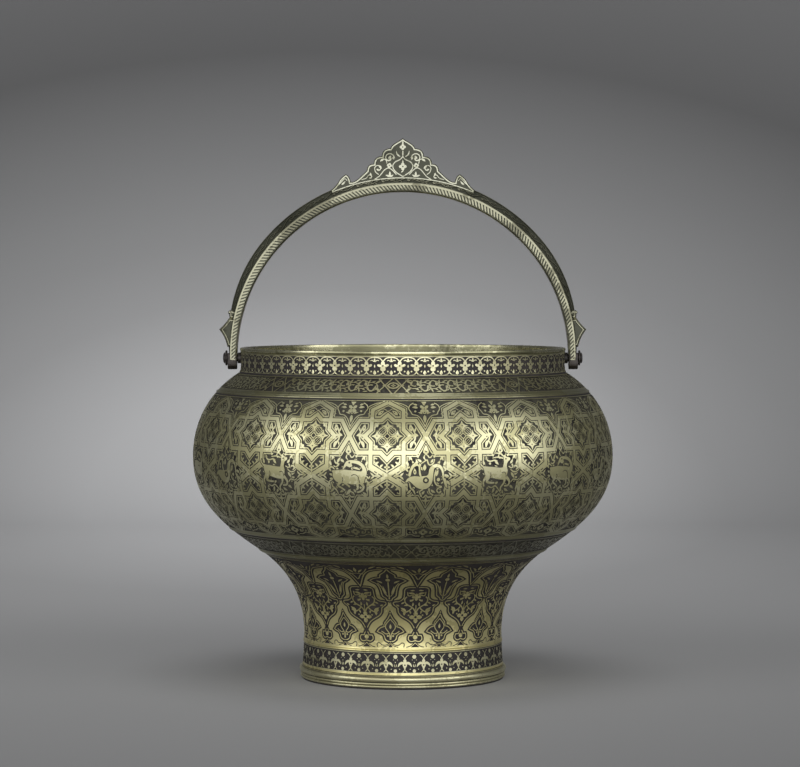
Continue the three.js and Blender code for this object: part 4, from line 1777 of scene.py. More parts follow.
@dataclass
class RunningScroll:
    """A running leaf scroll between lozenges, where the pail has its bands of writing.

    Attributes:
        height: Height of the band.
        width: Width of the whole repeat.
        lozenge: Width of a lozenge.
        waves: How many waves of the scroll there are between two lozenges.
    """

    height: float
    width: float
    lozenge: float = 14.0
    waves: int = 5

    def wave(self, length: float) -> Drawing:
        """Return one wave of the scroll, a leafy spiral rolled into each of its bends.

        Args:
            length: Length of the wave.

        Returns:
            The wave, its middle at the origin.
        """
        h, out = self.height, Drawing()
        t = np.linspace(0, 1, 15)
        out.line(np.column_stack([(t - 0.5) * length, h / 2 + 0.36 * h * np.sin(t * tau)]), 0.62)
        for side in (-1, 1):
            x, y = side * length / 4, h / 2 - side * 0.1 * h
            a = np.linspace(0.1, 1.3, 15) * tau
            roll = (0.33 - 0.2 * np.linspace(0, 1, 15)) * h
            spiral = np.column_stack([x - roll * np.cos(a), y + side * roll * np.sin(a)])
            out.line(spiral, 0.5 + 0.35 * np.linspace(0, 1, 15) ** 3)
            for way, far in ((0.3, 0.46), (2.0, 0.44), (3.4, 0.42), (4.6, 0.44)):
                root = (x + 0.27 * h * cos(way), y - side * 0.27 * h * sin(way))
                tip = (x + far * h * cos(way + 0.5), y - side * far * h * sin(way + 0.5))
                out.leaf(root, tip, 0.85, 0.15)
        return out

    def cartouche(self) -> Drawing:
        """Draw the lozenge with a small ring, and the half palmettes beside it.

        Returns:
            The drawing, its origin in the middle of the band's lower edge.
        """
        h, w = self.height, self.lozenge
        out = Drawing()
        for up in (-1, 1):
            foot, peak = h / 2 - up * h * 0.66, h / 2 + up * h * 0.56
            out.line([(-0.62 * w, foot), (0.0, peak), (0.62 * w, foot)], 0.6)
        ring = [(-2.7, 0), (-1.6, 1.5), (0, 2.0), (1.6, 1.5), (2.7, 0), (1.6, -1.5), (0, -2.0), (-1.6, -1.5)]
        out.line(as_points(ring) + [0, h / 2], 0.85, True, True)
        out.add(blossom(1.2, 0.25), (0, h / 2))
        half = Drawing()
        half.leaves(
            (3.2, h / 2, 5.3, h / 2 + 0.1, 0.9), (w * 0.62, h * 0.62, w * 0.4, h * 0.93, 1.3, 0.2),
            (w * 0.62, h * 0.38, w * 0.4, h * 0.07, 1.3, -0.2),
        )
        return out.both(half)

    def tile(self) -> Drawing:
        """Draw one repeat, its lozenge in the middle.

        Returns:
            The drawing, its origin in the middle of the band's lower edge.
        """
        out = Drawing()
        room = self.width - self.lozenge * 1.15
        length = room / self.waves
        for k in range(self.waves):
            at = self.lozenge * 0.575 + (k + 0.5) * length
            wave = self.wave(length)
            out.add(wave, (at, 0)).add(wave, (at - self.width, 0))
        out.add(self.cartouche())
        for low in (-0.01, self.height - 0.34):
            out.bar(self.width, low, low + 0.35)
        return out


@dataclass
class FlowerRow:
    """A row of small flowers on forked stems, as on the neck and on the foot.

    Attributes:
        height: Height of the band.
        width: Width of a repeat.
        neck: Whether it is the finer row on the neck.
    """

    height: float
    width: float
    neck: bool

    def tile(self) -> Drawing:
        """Draw one repeat, its flower in the middle, between the plain edges of the band.

        Returns:
            The drawing, its origin in the middle of the band's lower edge.
        """
        out = self.neck_flower() if self.neck else self.foot_flower()
        out.bar(self.width, -0.1, 0.25)
        return out.bar(self.width, self.height - 0.25, self.height + 0.1)

    def neck_flower(self) -> Drawing:
        """Draw the neck's four-petalled flower between arching stems.

        Returns:
            The drawing, its origin in the middle of the band's lower edge.
        """
        w, out, half = self.width, Drawing(), Drawing()
        half.sweep([(0, 6.9), (0.55, 7.6), (1.7, 8.6), (w / 2, 9.05)], 0.5)
        half.figure([(2, 56), (12, 55), (22, 58), (28, 53), (22, 46), (12, 43), (2, 44)])
        half.sweep([(0, 2.0), (0.6, 1.2), (1.7, 0.55), (w / 2, 0.2)], 0.5)
        half.leaves((w / 2 + 0.1, 0.5, w / 2, 2.9, 1.7), (w / 2 + 0.1, 8.8, w / 2, 6.6, 1.2, 0.15))
        half.sweep([(w / 2 - 0.2, 6.9), (2.7, 7.6), (2.0, 7.3)], 0.4, 2)
        half.dot(2.35, 2.3, 0.42, 6)
        half.leaf((w / 2, 4.0), (w / 2, 5.6), 0.6)
        out.both(half)
        out.figure(both_sides([(0, 74), (8, 66), (9, 58), (4, 52)]))
        out.figure(both_sides([(0, 46), (9, 43), (13, 34), (8, 25), (0, 27)]))
        out.line([(0, 3.0), (0, 1.8)], 0.6)
        out.dot(0, 4.95, 0.85, 10)
        out.hole(0, 4.95, 0.42)
        return out

    def foot_flower(self) -> Drawing:
        """Draw the foot's flower with two drooping petals, between two rows of round buds.

        Returns:
            The drawing, its origin in the middle of the band's lower edge.
        """
        w, out, half = self.width, Drawing(), Drawing()
        half.sweep([(0, 6.6), (0.4, 7.6), (1.1, 8.4), (1.9, 8.9)], 0.34)
        half.stroke([(0, 46), (15, 50), (26, 44), (33, 32)], (0.9, 1.25, 1.0, 0.35))
        half.line([(0, 1.7), (1.1, 0.5)], 0.4)
        half.dot(w / 2, 8.0, 0.98, 12).dot(w / 2, 1.15, 0.85, 10)
        half.dot(w / 2, 5.3, 0.28, 6).dot(w / 2 - 1.0, 6.5, 0.22, 6)
        half.dot(2.6, 2.0, 0.28, 6).leaf((w / 2 - 0.1, 2.9), (w / 2 - 0.4, 4.6), 0.4, 0.2)
        out.both(half)
        out.area(oval((0, 6.0), 0.82, 0.9, 10))
        out.area(both_sides([(0, 5.6), (0.9, 4.6), (1.05, 3.7), (0.45, 2.6), (0, 1.0)]))
        return out.hole(0, 4.0, 0.4)


@dataclass
class PedestalRow:
    """The pedestal's lobed medallions and palmettes, cut with dark outlines into plain metal.

    Attributes:
        width: Width of a repeat.
        height: Height of the band.
        dark: Width of the dark outline.
        rim: Width of the bright line inside it.
    """

    width: float
    height: float
    dark: float = 0.74
    rim: float = 0.45

    def inlaid(self, half: Sequence[Point], filling: Drawing, steps: int = 3) -> Drawing:
        """Return a closed figure with a dark outline, a bright rim and a dark inside.

        Args:
            half: The right half of its outline, from the top to the foot.
            filling: What lies on its dark inside.
            steps: How many stretches there are from one point to the next.

        Returns:
            The figure.
        """
        outline, out = both_sides(smooth(half, steps)), Drawing()
        out.line(outline, 2 * self.rim + 2 * self.dark, False, True)
        out.area(outline, False)
        out.line(outline, 2 * self.rim, True, True)
        out.area(outline, False)
        return out.add(filling)

    def medallion(self) -> Drawing:
        """Draw the lobed medallion with its arabesque and flower.

        Returns:
            The drawing, its origin below the band.
        """
        half = Drawing()
        half.sweep([(0.2, 38.2), (1.4, 40.4), (4.6, 42.8), (5.2, 45.2), (4.2, 46.6)], 0.6)
        half.sweep([(1.6, 40.8), (3.2, 39.0), (5.2, 38.2), (6.8, 39.4)], 0.6)
        half.leaves(
            (1.7, 41.2, 1.5, 43.6, 0.9, 0.2), (3.4, 41.9, 5.6, 41.6, 0.9, 0.2),
            (3.0, 39.0, 2.4, 37.2, 0.9, -0.2), (5.3, 43.6, 6.9, 42.6, 0.8),
        )
        half.dot(2.6, 44.6, 0.4, 7).dot(3.3, 36.6, 0.45, 7)
        half.leaves(
            (4.4, 38.4, 7.2, 40.6, 1.3, 0.2), (5.0, 38.6, 5.4, 36.4, 1.3, 0.2), (7.6, 41.4, 9.2, 42.2, 0.9),
        )
        half.sweep([(0.3, 46.4), (1.6, 47.4), (3.6, 47.2), (4.0, 49.4)], 0.45)
        half.leaves(
            (0.6, 48.0, 3.9, 48.9, 1.2, 0.2), (1.0, 45.2, 3.0, 43.8, 0.9), (0.8, 50.4, 3.0, 50.2, 0.8),
        )
        filling = Drawing().both(half)
        filling.add(blossom(2.1, 0.0, 0, 0.6), (0, 46.4))
        filling.line([(0, 38.4), (0, 42.0)], 0.45)
        filling.add(blossom(3.1, 0.0, 0, 0.55), (0, 35.6))
        filling.dot(0, 35.6, 1.15, 10)
        filling.hole(0, 35.6, 0.62)
        outline = [(0, 51.9), (3.4, 51.9), (4.9, 50.9), (5.1, 48.4), (5.5, 45.6), (7.4, 43.9), (9.9, 43.4)]
        outline += [(10.0, 42.3), (8.2, 40.6), (7.9, 38.3), (6.6, 36.4), (4.3, 34.9), (2.9, 33.9)]
        outline += [(1.5, 32.4), (0, 29.6)]
        return self.inlaid(outline, filling)

    def knot(self) -> Drawing:
        """Draw the trefoil knot and forked foot that a medallion stands on.

        Returns:
            The drawing, its origin below the band.
        """
        out = Drawing()
        outline = [(0, 28.6), (0.8, 27.2), (1.2, 26.2), (2.8, 26.2), (3.1, 24.6), (2.0, 23.7), (0.9, 23.9)]
        out.add(self.inlaid(outline + [(0, 24.2)], Drawing().dot(0, 25.6, 1.1, 10), 2))
        half = Drawing()
        half.sweep([(0.1, 23.6), (0.9, 22.4), (2.6, 21.2), (4.4, 20.7)], 0.42, metal=False)
        out.both(half)
        out.area([(0, 22.6), (2.2, 20.7), (-2.2, 20.7)], False)
        for side in (-1, 1):
            out.line([(side * 0.25, 30.2), (0, 29.2), (-side * 0.35, 28.0)], self.dark, False)
        return out

    def upper_palmette(self) -> Drawing:
        """Draw the tulip between two medallions.

        Returns:
            The drawing, its origin below the band.
        """
        half = Drawing()
        half.sweep([(0.6, 46.8), (1.9, 48.8), (2.9, 52.4), (4.4, 55.0)], 0.4)
        half.leaves((1.0, 48.0, 2.4, 53.2, 0.8, -0.2), (2.3, 54.8, 4.9, 56.6, 0.9, 0.2))
        filling = Drawing().both(half)
        filling.line([(0, 45.2), (0, 55.6)], 0.5)
        filling.dot(0, 57.0, 0.95, 10)
        filling.leaf((0, 58.0), (0, 61.4), 0.9)
        outline = [(0, 64.6), (0.9, 62.6), (2.6, 60.6), (2.9, 58.6), (4.6, 58.2), (7.0, 56.6), (5.0, 55.0)]
        outline += [(3.9, 53.2), (3.2, 50.2), (2.8, 47.2), (1.4, 46.0), (0.9, 44.9), (0, 44.5)]
        return self.inlaid(outline, filling, 2)

    def lower_palmette(self) -> Drawing:
        """Draw the palmette with spreading leaves at the foot, between two medallions.

        Returns:
            The drawing, its origin below the band.
        """
        half = Drawing()
        half.sweep([(0.2, 24.4), (0.5, 27.4), (2.2, 29.8), (2.2, 31.8), (0.0, 34.6)], 0.42)
        half.sweep([(0.6, 27.6), (2.2, 27.2), (4.4, 28.6)], 0.42)
        half.dot(1.3, 26.2, 0.5)
        filling = Drawing().both(half)
        filling.leaf((0, 29.6), (0, 32.2), 1.1)
        outline = [(0, 36.6), (1.0, 34.6), (2.5, 32.6), (2.7, 30.8), (4.4, 30.2), (6.2, 28.4), (4.2, 27.6)]
        outline += [(2.9, 26.3), (2.4, 24.6), (1.2, 23.8), (0, 23.6)]
        out = self.inlaid(outline, filling, 2)
        out.hole(0, 37.9, 0.8)
        out.dot(0, 37.9, 0.4, 6)
        right = Drawing()
        right.hole(3.3, 31.6, 0.62)
        right.dot(3.3, 31.6, 0.3, 6)
        bracket = [(0.3, 23.4), (1.0, 22.4), (2.5, 21.7), (4.2, 21.8), (5.5, 22.8), (6.7, 22.4), (6.5, 20.7)]
        right.sweep(bracket, 0.42, metal=False)
        right.sweep([(0.4, 22.2), (1.4, 21.4), (3.8, 20.7)], 0.4, 2, False)
        out.both(right)
        out.area([(0, 22.4), (1.2, 20.7), (-1.2, 20.7)], False)
        return out

    def top_cell(self) -> Drawing:
        """Draw the small pointed cell over a medallion.

        Returns:
            The drawing, its origin below the band.
        """
        filling = Drawing()
        half = Drawing().sweep([(0.2, 57.4), (1.4, 60.2), (3.4, 62.8), (4.6, 65.2)], 0.4)
        half.leaf((1.0, 62.0), (3.0, 64.6), 0.9, 0.2)
        filling.both(half)
        filling.leaf((0, 62.4), (0, 66.0), 1.2)
        filling.line([(-3.0, 60.9), (0, 61.6), (3.0, 60.9)], 0.35)
        filling.both(Drawing().leaf((5.4, 65.2), (8.4, 67.4), 0.9, 0.2).leaf((8.2, 66.0), (10.6, 66.9), 0.7))
        outline = [(0, 68.5), (4.0, 68.5), (8.0, 68.5), (12.1, 68.5), (12.1, 66.5), (9.2, 65.2), (6.6, 64.4)]
        outline += [(4.8, 63.4), (3.3, 61.6), (2.1, 59.2), (0.9, 55.8), (0, 53.2)]
        return self.inlaid(outline, filling, 2)

    def tile(self) -> Drawing:
        """Draw one repeat, its medallion in the middle, its foot at the band's foot.

        Returns:
            The drawing, its origin in the middle of the band's lower edge.
        """
        out, w = Drawing(True), self.width
        foot = -20.1
        for x in (-w / 2, w / 2):
            out.add(self.upper_palmette(), (x, foot)).add(self.lower_palmette(), (x, foot))
        out.add(self.medallion(), (0, foot)).add(self.knot(), (0, foot)).add(self.top_cell(), (0, foot))
        for low in (-0.1, self.height - 0.3):
            out.bar(w, low, low + 0.4)
        return out


# The body's pieces


@dataclass
class Line:
    """A turned line round the body: a bead where proud is positive and a groove where it isn't."""

    low: float
    high: float
    proud: float


@dataclass
class Core:
    """A turned shell with beads, grooves, and channels for the engraved bands.

    Attributes:
        outline: The body's outline.
        low: Height of its lower end.
        high: Height of its upper end.
        wall: Thickness of the wall.
        channels: Lowest and highest point of each channel.
        lines: The beads and grooves.
        channel_depth: Depth of the channels.
        step: Longest stretch of the bare surface.
        channel_step: Longest stretch of a channel's floor.
    """

    outline: Outline
    low: float
    high: float
    wall: float
    channels: Sequence[tuple[float, float]]
    lines: Sequence[Line]
    channel_depth: float = 1.02
    step: float = 1.6
    channel_step: float = 2.2

    def outside(self) -> list[Point]:
        """Return the outer side from the lower end upwards.

        Returns:
            Radii and heights.
        """
        run = self.outline.run_at
        stops = [Line(low, high, CHANNEL) for low, high in self.channels] + list(self.lines)
        out: list[Array] = []
        at = run(self.low)

        def plain(end: float) -> None:
            """Follow the bare surface up to a length along the outline."""
            runs = np.linspace(at, end, max(ceil((end - at) / self.step), 1) + 1)
            out.append(self.outline.at(runs))

        for stop in sorted(stops, key=lambda line: line.low):
            start, end = run(stop.low), run(stop.high)
            if start > at + TOUCH:
                plain(start)
            if stop.proud == CHANNEL:
                runs = np.linspace(start, end, max(ceil((end - start) / self.channel_step), 1) + 1)
                out.append(self.outline.at(runs, self.channel_depth))
                out.append(self.outline.at(np.array([end])))
            else:
                t = np.linspace(0, 1, 9)
                out.append(self.outline.at(start + (end - start) * t, -stop.proud * np.sin(pi * t) ** 0.7))
            at = end
        if run(self.high) > at + TOUCH:
            plain(run(self.high))
        points = np.vstack(out)
        keep = np.r_[True, np.linalg.norm(np.diff(points, axis=0), axis=1) > 0.02]
        return [tuple(p) for p in points[keep]]

    def blacken(self, piece: Object) -> None:
        """Fill the deep grooves with the black filling, the piece's second finish.

        Args:
            piece: The turned shell.
        """
        for face in piece.data.polygons:
            height, out = face.center.z / MM, hypot(face.center.x, face.center.y) / MM
            wall = self.outline.at(np.array([self.outline.run_at(height)]), self.wall / 2)[0]
            for line in self.lines:
                if line.proud <= -0.2 and line.low < height < line.high and out > wall[0]:
                    face.material_index = 1

    def inside(self, step: float = 3.0) -> list[Point]:
        """Return the inner side from the upper end downwards.

        Args:
            step: The longest stretch.

        Returns:
            Radii and heights.
        """
        start, end = self.outline.run_at(self.low), self.outline.run_at(self.high)
        runs = np.linspace(end, start, ceil((end - start) / step) + 1)
        return [tuple(p) for p in self.outline.at(runs, self.wall)]


@dataclass
class Bowl:
    """The belly, shoulder and neck with their engraved bands, and the bowl's own rounded floor.

    Attributes:
        outline: The body's outline.
        wall: Thickness of the wall.
        floor: Thickness of the floor.
        dish_depth: How far the floor hangs below the seam.
        dish_radius: Radius of the floor's edge.
        lip_height: Height of the lip.
        lip_proud: How far the lip stands out.
        stars: Lower and upper edge of the belly's strapwork.
        under_scroll: Lower and upper edge of the band under it.
        over_scroll: Lower and upper edge of the band on the shoulder.
        neck: Lower and upper edge of the neck's flowers.
    """

    outline: Outline
    wall: float = 2.0
    floor: float = 2.2
    dish_depth: float = 15.0
    dish_radius: float = 70.0
    lip_height: float = 1.7
    lip_proud: float = 0.4
    stars: tuple[float, float] = (76.7, 142.1)
    under_scroll: tuple[float, float] = (65.95, 73.6)
    over_scroll: tuple[float, float] = (145.15, 152.15)
    neck: tuple[float, float] = (153.2, 162.35)

    def build(self) -> None:
        """Make the turned shell and every band on it."""
        self.shell()
        self.star_bands()
        self.scroll_bands()
        self.neck_band()

    def shell(self) -> Object:
        """Turn the shell: floor, wall with its beads and channels, lip and inner side.

        Returns:
            The finished shell.
        """
        line, rim = self.outline, self.outline.rim_height
        low = line.seam_height
        lines = [
            Line(73.75, 74.6, -0.3),
            Line(74.6, 75.9, 0.35),
            Line(75.95, 76.65, -0.12),
            Line(142.15, 142.85, -0.3),
            Line(142.85, 143.75, 0.35),
            Line(143.8, 144.15, -0.15),
            Line(152.25, 153.15, -0.4),
            Line(162.4, 163.1, 0.3),
            Line(163.1, 163.35, -0.25),
        ]
        core = Core(line, low, rim - self.lip_height + 0.25, self.wall, self.bands(), lines)
        sphere = (self.dish_radius**2 + self.dish_depth**2) / (2 * self.dish_depth)
        centre = low - self.dish_depth + sphere
        under = [(r, centre - (sphere**2 - r**2) ** 0.5) for r in np.linspace(0, self.dish_radius, 14)]
        outer, inner = line.neck_radius + self.lip_proud, line.neck_radius - self.wall
        lip = [
            (outer - 0.12, rim - self.lip_height + 0.3),
            (outer, rim - self.lip_height + 0.55),
            (outer, rim - 0.5),
            (outer - 0.15, rim - 0.15),
            (outer - 0.5, rim),
            (inner + 0.5, rim),
            (inner + 0.15, rim - 0.15),
            (inner, rim - 0.5),
        ]
        ball = sphere - self.floor
        walls = [p for p in core.inside() if p[1] > centre - (ball**2 - min(p[0], ball) ** 2) ** 0.5]
        edge = walls[-1][0] - 1.2
        floor = [(r, centre - (ball**2 - r**2) ** 0.5) for r in np.linspace(edge, 0, 16)]
        piece = turn_profile("bowl_shell", [*under, *core.outside(), *lip, *walls, *floor], 180)
        core.blacken(piece)
        # The lip and the inside of the neck take the paler lip brass; inside, it is a painted reflection of
        # light.
        for face in piece.data.polygons:
            lip = face.center.z > (rim - self.lip_height) * MM
            sheen_inside = hypot(face.center.x, face.center.y) < (line.neck_radius - self.wall * 0.6) * MM
            if lip or sheen_inside and face.center.z > self.neck[0] * MM:
                face.material_index = 2
        finishes = [RUBBED_BRASS, BLACK_FILLING, LIP_AND_INNER_SHEEN_BRASS]
        return finish_piece(piece, Body.PAIL, finishes, ["bowl"])

    def bands(self) -> list[tuple[float, float]]:
        """Return the channels that the bands lie in."""
        return [self.under_scroll, self.stars, self.over_scroll, self.neck]

    def star_bands(self) -> None:
        """Engrave the strapwork in three rings: upper stars, animals and lower stars."""
        lattice = StarLattice()
        zone = Zone(self.outline, *self.stars, repeats=18, radius=self.outline.belly_radius, phase=5.9)
        middle = 35.5
        tiles = []
        for animal in Animal:
            tile = Drawing().add(lattice.tile(animal.drawn()), (0, middle)).bar(zone.width, -0.1, 0.3)
            tiles.append(tile.bar(zone.width, zone.height - 0.3, zone.height + 0.1))
        cuts = [0.0, middle + lattice.row_low - 0.06, middle + lattice.row_high + 0.06, zone.height]
        for name, low, high in zip(("lower_stars", "animal_row", "upper_stars"), cuts, cuts[1:]):
            Sleeve(name, zone, tiles, low=low, high=high).build([ENGRAVED_BRASS, RUBBED_FILLING])

    def scroll_bands(self) -> None:
        """Engrave the running scrolls above and below the strapwork."""
        # The band under the belly takes the bail's darker brass: painted shade where the belly faces down.
        under = ("under_scroll", self.under_scroll, 79.0, 0.0, BAIL_AND_UNDER_SHADE_BRASS)
        over = ("over_scroll", self.over_scroll, 87.0, -3.0, SCROLL_BRASS)
        for name, band, radius, phase, metal in (under, over):
            zone = Zone(self.outline, *band, repeats=9, radius=radius, phase=phase)
            tile = RunningScroll(zone.height, zone.width).tile()
            Sleeve(name, zone, [tile]).build([metal, WORN_FILLING])

    def neck_band(self) -> None:
        """Engrave the row of flowers on the neck."""
        zone = Zone(self.outline, *self.neck, repeats=64, radius=self.outline.neck_radius, phase=-1.1)
        tile = FlowerRow(zone.height, zone.width, True).tile()
        Sleeve("neck_flowers", zone, [tile]).build([PETAL_BRASS, BLACK_FILLING])


@dataclass
class Pedestal:
    """The hollow flared foot with its medallions and its row of flowers, on its moulded ring.

    Attributes:
        outline: The body's outline.
        wall: Thickness of the wall.
        seat: Gap under the bowl.
        medallions: Lower and upper edge of the medallions.
        flowers: Lower and upper edge of the row of flowers.
        ring_height: Height of the foot ring.
        ring_out: Outer radius of the foot ring.
        ring_in: Inner radius of the foot ring.
    """

    outline: Outline
    wall: float = 2.0
    seat: float = 0.3
    medallions: tuple[float, float] = (20.0, 63.15)
    flowers: tuple[float, float] = (8.0, 17.85)
    ring_height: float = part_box("foot_ring")[1][2] / MM
    ring_out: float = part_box("foot_ring")[1][0] / MM
    ring_in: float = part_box("foot_ring")[1][0] / MM - 5.4

    def build(self) -> None:
        """Make the turned shell, its bands and the foot ring."""
        self.shell()
        zone = Zone(self.outline, *self.medallions, repeats=13, radius=50.0, phase=6.9)
        tile = PedestalRow(zone.width, zone.height).tile()
        Sleeve("medallions", zone, [tile], spacing=2.0).build([FOOT_BRASS, BLACK_FILLING])
        zone = Zone(self.outline, *self.flowers, repeats=34, radius=50.0, phase=1.1)
        tile = FlowerRow(zone.height, zone.width, False).tile()
        Sleeve("foot_flowers", zone, [tile]).build([PETAL_BRASS, BLACK_FILLING])
        self.ring()

    def shell(self) -> Object:
        """Turn the hollow shell.

        Returns:
            The finished shell.
        """
        lines = [
            Line(17.9, 18.15, -0.2),
            Line(18.15, 19.15, 0.35),
            Line(19.2, 19.95, 0.12),
            Line(63.2, 63.6, -0.25),
            Line(63.6, 65.2, 0.4),
        ]
        low, high = self.ring_height + self.seat, self.outline.seam_height - self.seat
        core = Core(self.outline, low, high, self.wall, [self.flowers, self.medallions], lines)
        outside = core.outside()
        piece = turn_profile("pedestal_shell", [*outside, *core.inside(), outside[0]], 160)
        core.blacken(piece)
        for face in piece.data.polygons:
            if face.center.z > self.medallions[1] * MM and not face.material_index:
                face.material_index = 2
        finishes = [FOOT_BRASS, BLACK_FILLING, RUBBED_BRASS]
        return finish_piece(piece, Body.PAIL, finishes, ["pedestal"])

    def ring(self) -> Object:
        """Turn the foot ring with its broad bead and the two small ones below.

        Returns:
            The finished ring.
        """
        top, out = self.outline.waist_radius + self.outline.foot_flare, self.ring_out
        profile: list[Point] = [(self.ring_in + 0.4, 0.0), (top - 0.1, 0.0), (top + 0.1, 0.5)]
        for low, high, share in ((0.8, 1.95, 0.6), (2.1, 3.25, 0.55), (3.6, 6.05, 1.0)):
            t = np.linspace(0, pi, 9)
            reach = (out - top) * share
            profile += [(top + reach * sin(a) ** 0.6, low + (high - low) * (1 - cos(a)) / 2) for a in t]
        profile += [(top - 0.05, 6.3), (top, self.ring_height), (self.ring_in, self.ring_height)]
        profile += [(self.ring_in, 0.4), profile[0]]
        piece = turn_profile("foot_moulding", profile, 160)
        for face in piece.data.polygons:
            far = hypot(face.center.x, face.center.y) / MM
            face.material_index = int(top - 0.5 < far < top + 0.12 * (out - top) and face.center.z < 6.2 * MM)
        return finish_piece(piece, Body.PAIL, [PETAL_BRASS, BLACK_FILLING], ["foot_ring"])


# The bail


def bezier(*controls: Point, steps: int = 8) -> Array:
    """Return a curve from two, three or four control points, without its first point.

    Args:
        *controls: The control points.
        steps: How many stretches it has.

    Returns:
        The curve's points.
    """
    p = as_points(controls)
    t = np.linspace(0, 1, steps + 1)[1:, None]
    while len(p) > 1:
        p = [a + (b - a) * t for a, b in zip(p, p[1:])]
    return p[0]


@dataclass
class Bow:
    """The half-round bail of ridged section, its faces engraved with a rope and a running scroll.

    Attributes:
        inner: Radius of its inner side.
        half_depth: Half its depth from front to back.
        chamfer: Width of the bevels along the inner side.
        flat: Height of the flat faces at the ends and at the top.
        ridge: Height of the ridge above them at the ends and at the top.
        taper: Over how many degrees the arms thin down.
        pivot: Height of the pins.
        overlap: How far the arms hang below the pins, in degrees.
        repeats: How many repeats of the engraving follow one another.
        rope: Strands of the rope in each repeat.
        eye_room: Radius of the hole for the pin.
        eye_drop: How far an eye hangs below its pin.
        eye_rise: How far it stands above it.
        eye_width: How broad it is along the pin.
    """

    inner: float = 82.7
    half_depth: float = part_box("handle_bow")[1][1] / MM
    chamfer: float = 0.7
    flat: tuple[float, float] = (3.3, 4.3)
    ridge: tuple[float, float] = (0.5, 4.0)
    taper: float = 40.0
    pivot: float = 159.6
    overlap: float = 0.6
    repeats: int = 22
    rope: int = 7
    eye_room: float = 2.1
    eye_drop: float = 6.5
    eye_rise: float = 2.5
    eye_width: float = 4.5

    def sizes(self, angle: Array) -> tuple[Array, Array]:
        """Return the radii of the flats' outer edge and of the ridge at an angle from the right-hand pin.

        Args:
            angle: Angles in radians.

        Returns:
            Both radii at each angle.
        """
        near = np.clip(np.minimum(angle, pi - angle) / radians(self.taper), 0, 1)
        full = np.sin(near * pi / 2)
        flat = self.inner + self.flat[0] + (self.flat[1] - self.flat[0]) * full
        return flat, flat + self.ridge[0] + (self.ridge[1] - self.ridge[0]) * full

    @cached_property
    def width(self) -> float:
        """Flat width of one repeat."""
        return self.reach * radians(180 + 2 * self.overlap) / self.repeats

    @cached_property
    def reach(self) -> float:
        """The radius at which flat widths are true."""
        return self.inner + self.flat[1] / 2

    def section(self, angle: Array) -> tuple[Array, Array]:
        """Return the radii of the section's corners at each angle, and how far back they lie.

        Args:
            angle: Angles in radians.

        Returns:
            A row of radii for each angle, and the corners' places from front to back.
        """
        flat, ridge = self.sizes(angle)
        inner, near = np.full(len(angle), self.inner), np.full(len(angle), self.inner + self.chamfer)
        side, bevel = self.half_depth, self.half_depth - self.chamfer
        back = np.array([0.0, -bevel, -side, -side, 0.0, side, side, bevel, 0.0])
        return np.column_stack([inner, inner, near, flat, ridge, flat, near, inner, inner]), back

    @cached_property
    def corners(self) -> Array:
        """Flat height of each of the section's corners, from the middle of the inner side round."""
        radii, back = self.section(np.array([pi / 2]))
        return np.r_[0, np.cumsum(np.hypot(np.diff(radii[0]), np.diff(back)))]

    def place(self, across: Array, up: Array, depth: Array) -> Array:
        """Return the places in metres of points of the drawing.

        Args:
            across: How far to the right each point is.
            up: How far up it is.
            depth: How far below the surface.

        Returns:
            A row of coordinates for each point.
        """
        angle = across / self.reach
        radii, back = self.section(angle)
        corner = np.clip(np.searchsorted(self.corners, up + 1e-4) - 1, 0, len(back) - 2)
        row = np.arange(len(up))
        share = np.clip((up - self.corners[corner]) / (self.corners[corner + 1] - self.corners[corner]), 0, 1)
        near = np.column_stack([radii[row, corner], back[corner]])
        along = np.column_stack([radii[row, corner + 1], back[corner + 1]]) - near
        facing = np.column_stack([along[:, 1], -along[:, 0]]) / np.linalg.norm(along, axis=1, keepdims=True)
        spot = near + along * share[:, None] - facing * depth[:, None]
        x, z = spot[:, 0] * np.cos(angle), self.pivot + spot[:, 0] * np.sin(angle)
        return np.column_stack([x, spot[:, 1], z]) * MM

    def half_tile(self) -> Drawing:
        """Draw the front's rope and scroll, from the middle of the inner side up to the ridge.

        Returns:
            The drawing, its origin in the middle of the bow's inner side.
        """
        out, half = Drawing(True), self.width / 2
        low, high = self.corners[2] + 0.05, self.corners[3] - 0.75
        out.bar(half, low, high, False)
        low += 0.35
        pitch, tall = self.width / self.rope, high - low
        strand = smooth([(-0.72, -0.06), (-0.4, 0.12), (0, 0.5), (0.4, 0.88), (0.72, 1.06)], 2)
        widths = 0.62 * np.array([0.3, 0.7, 1.0, 1.2, 1.25, 1.2, 1.0, 0.7, 0.3])
        for i in range(self.rope + 2):
            at = (i - (self.rope + 1) / 2) * pitch
            out.line(strand * [pitch, tall] + [at, low], widths)
        out.bar(half, high - 0.1, high + 0.1)
        low, high = self.corners[3] + 0.5, self.corners[4] - 0.4
        out.bar(half, low, high, False)
        middle, swing = (low + high) / 2, (high - low) * 0.27
        t = np.linspace(-0.55, 0.55, 23)
        out.line(np.column_stack([t * self.width, middle + swing * np.sin(t * tau)]), 0.4)
        roll = Drawing().area(curl(1.15, 0.38, 0.9, 2.0)).leaf((0.2, 0.3), (-1.7, 1.1), 0.7, 0.2)
        roll.dot(1.2, -0.1, 0.45, 7)
        for side in (1, -1):
            at = (side * self.width * 0.25, middle + side * swing)
            out.add(roll, (at[0] - side * 1.1, middle - side * swing * 0.5), 0 if side > 0 else 180)
            out.dot(at[0] + side * 2.3, at[1] + side * 0.5, 0.34, 6)
        return out

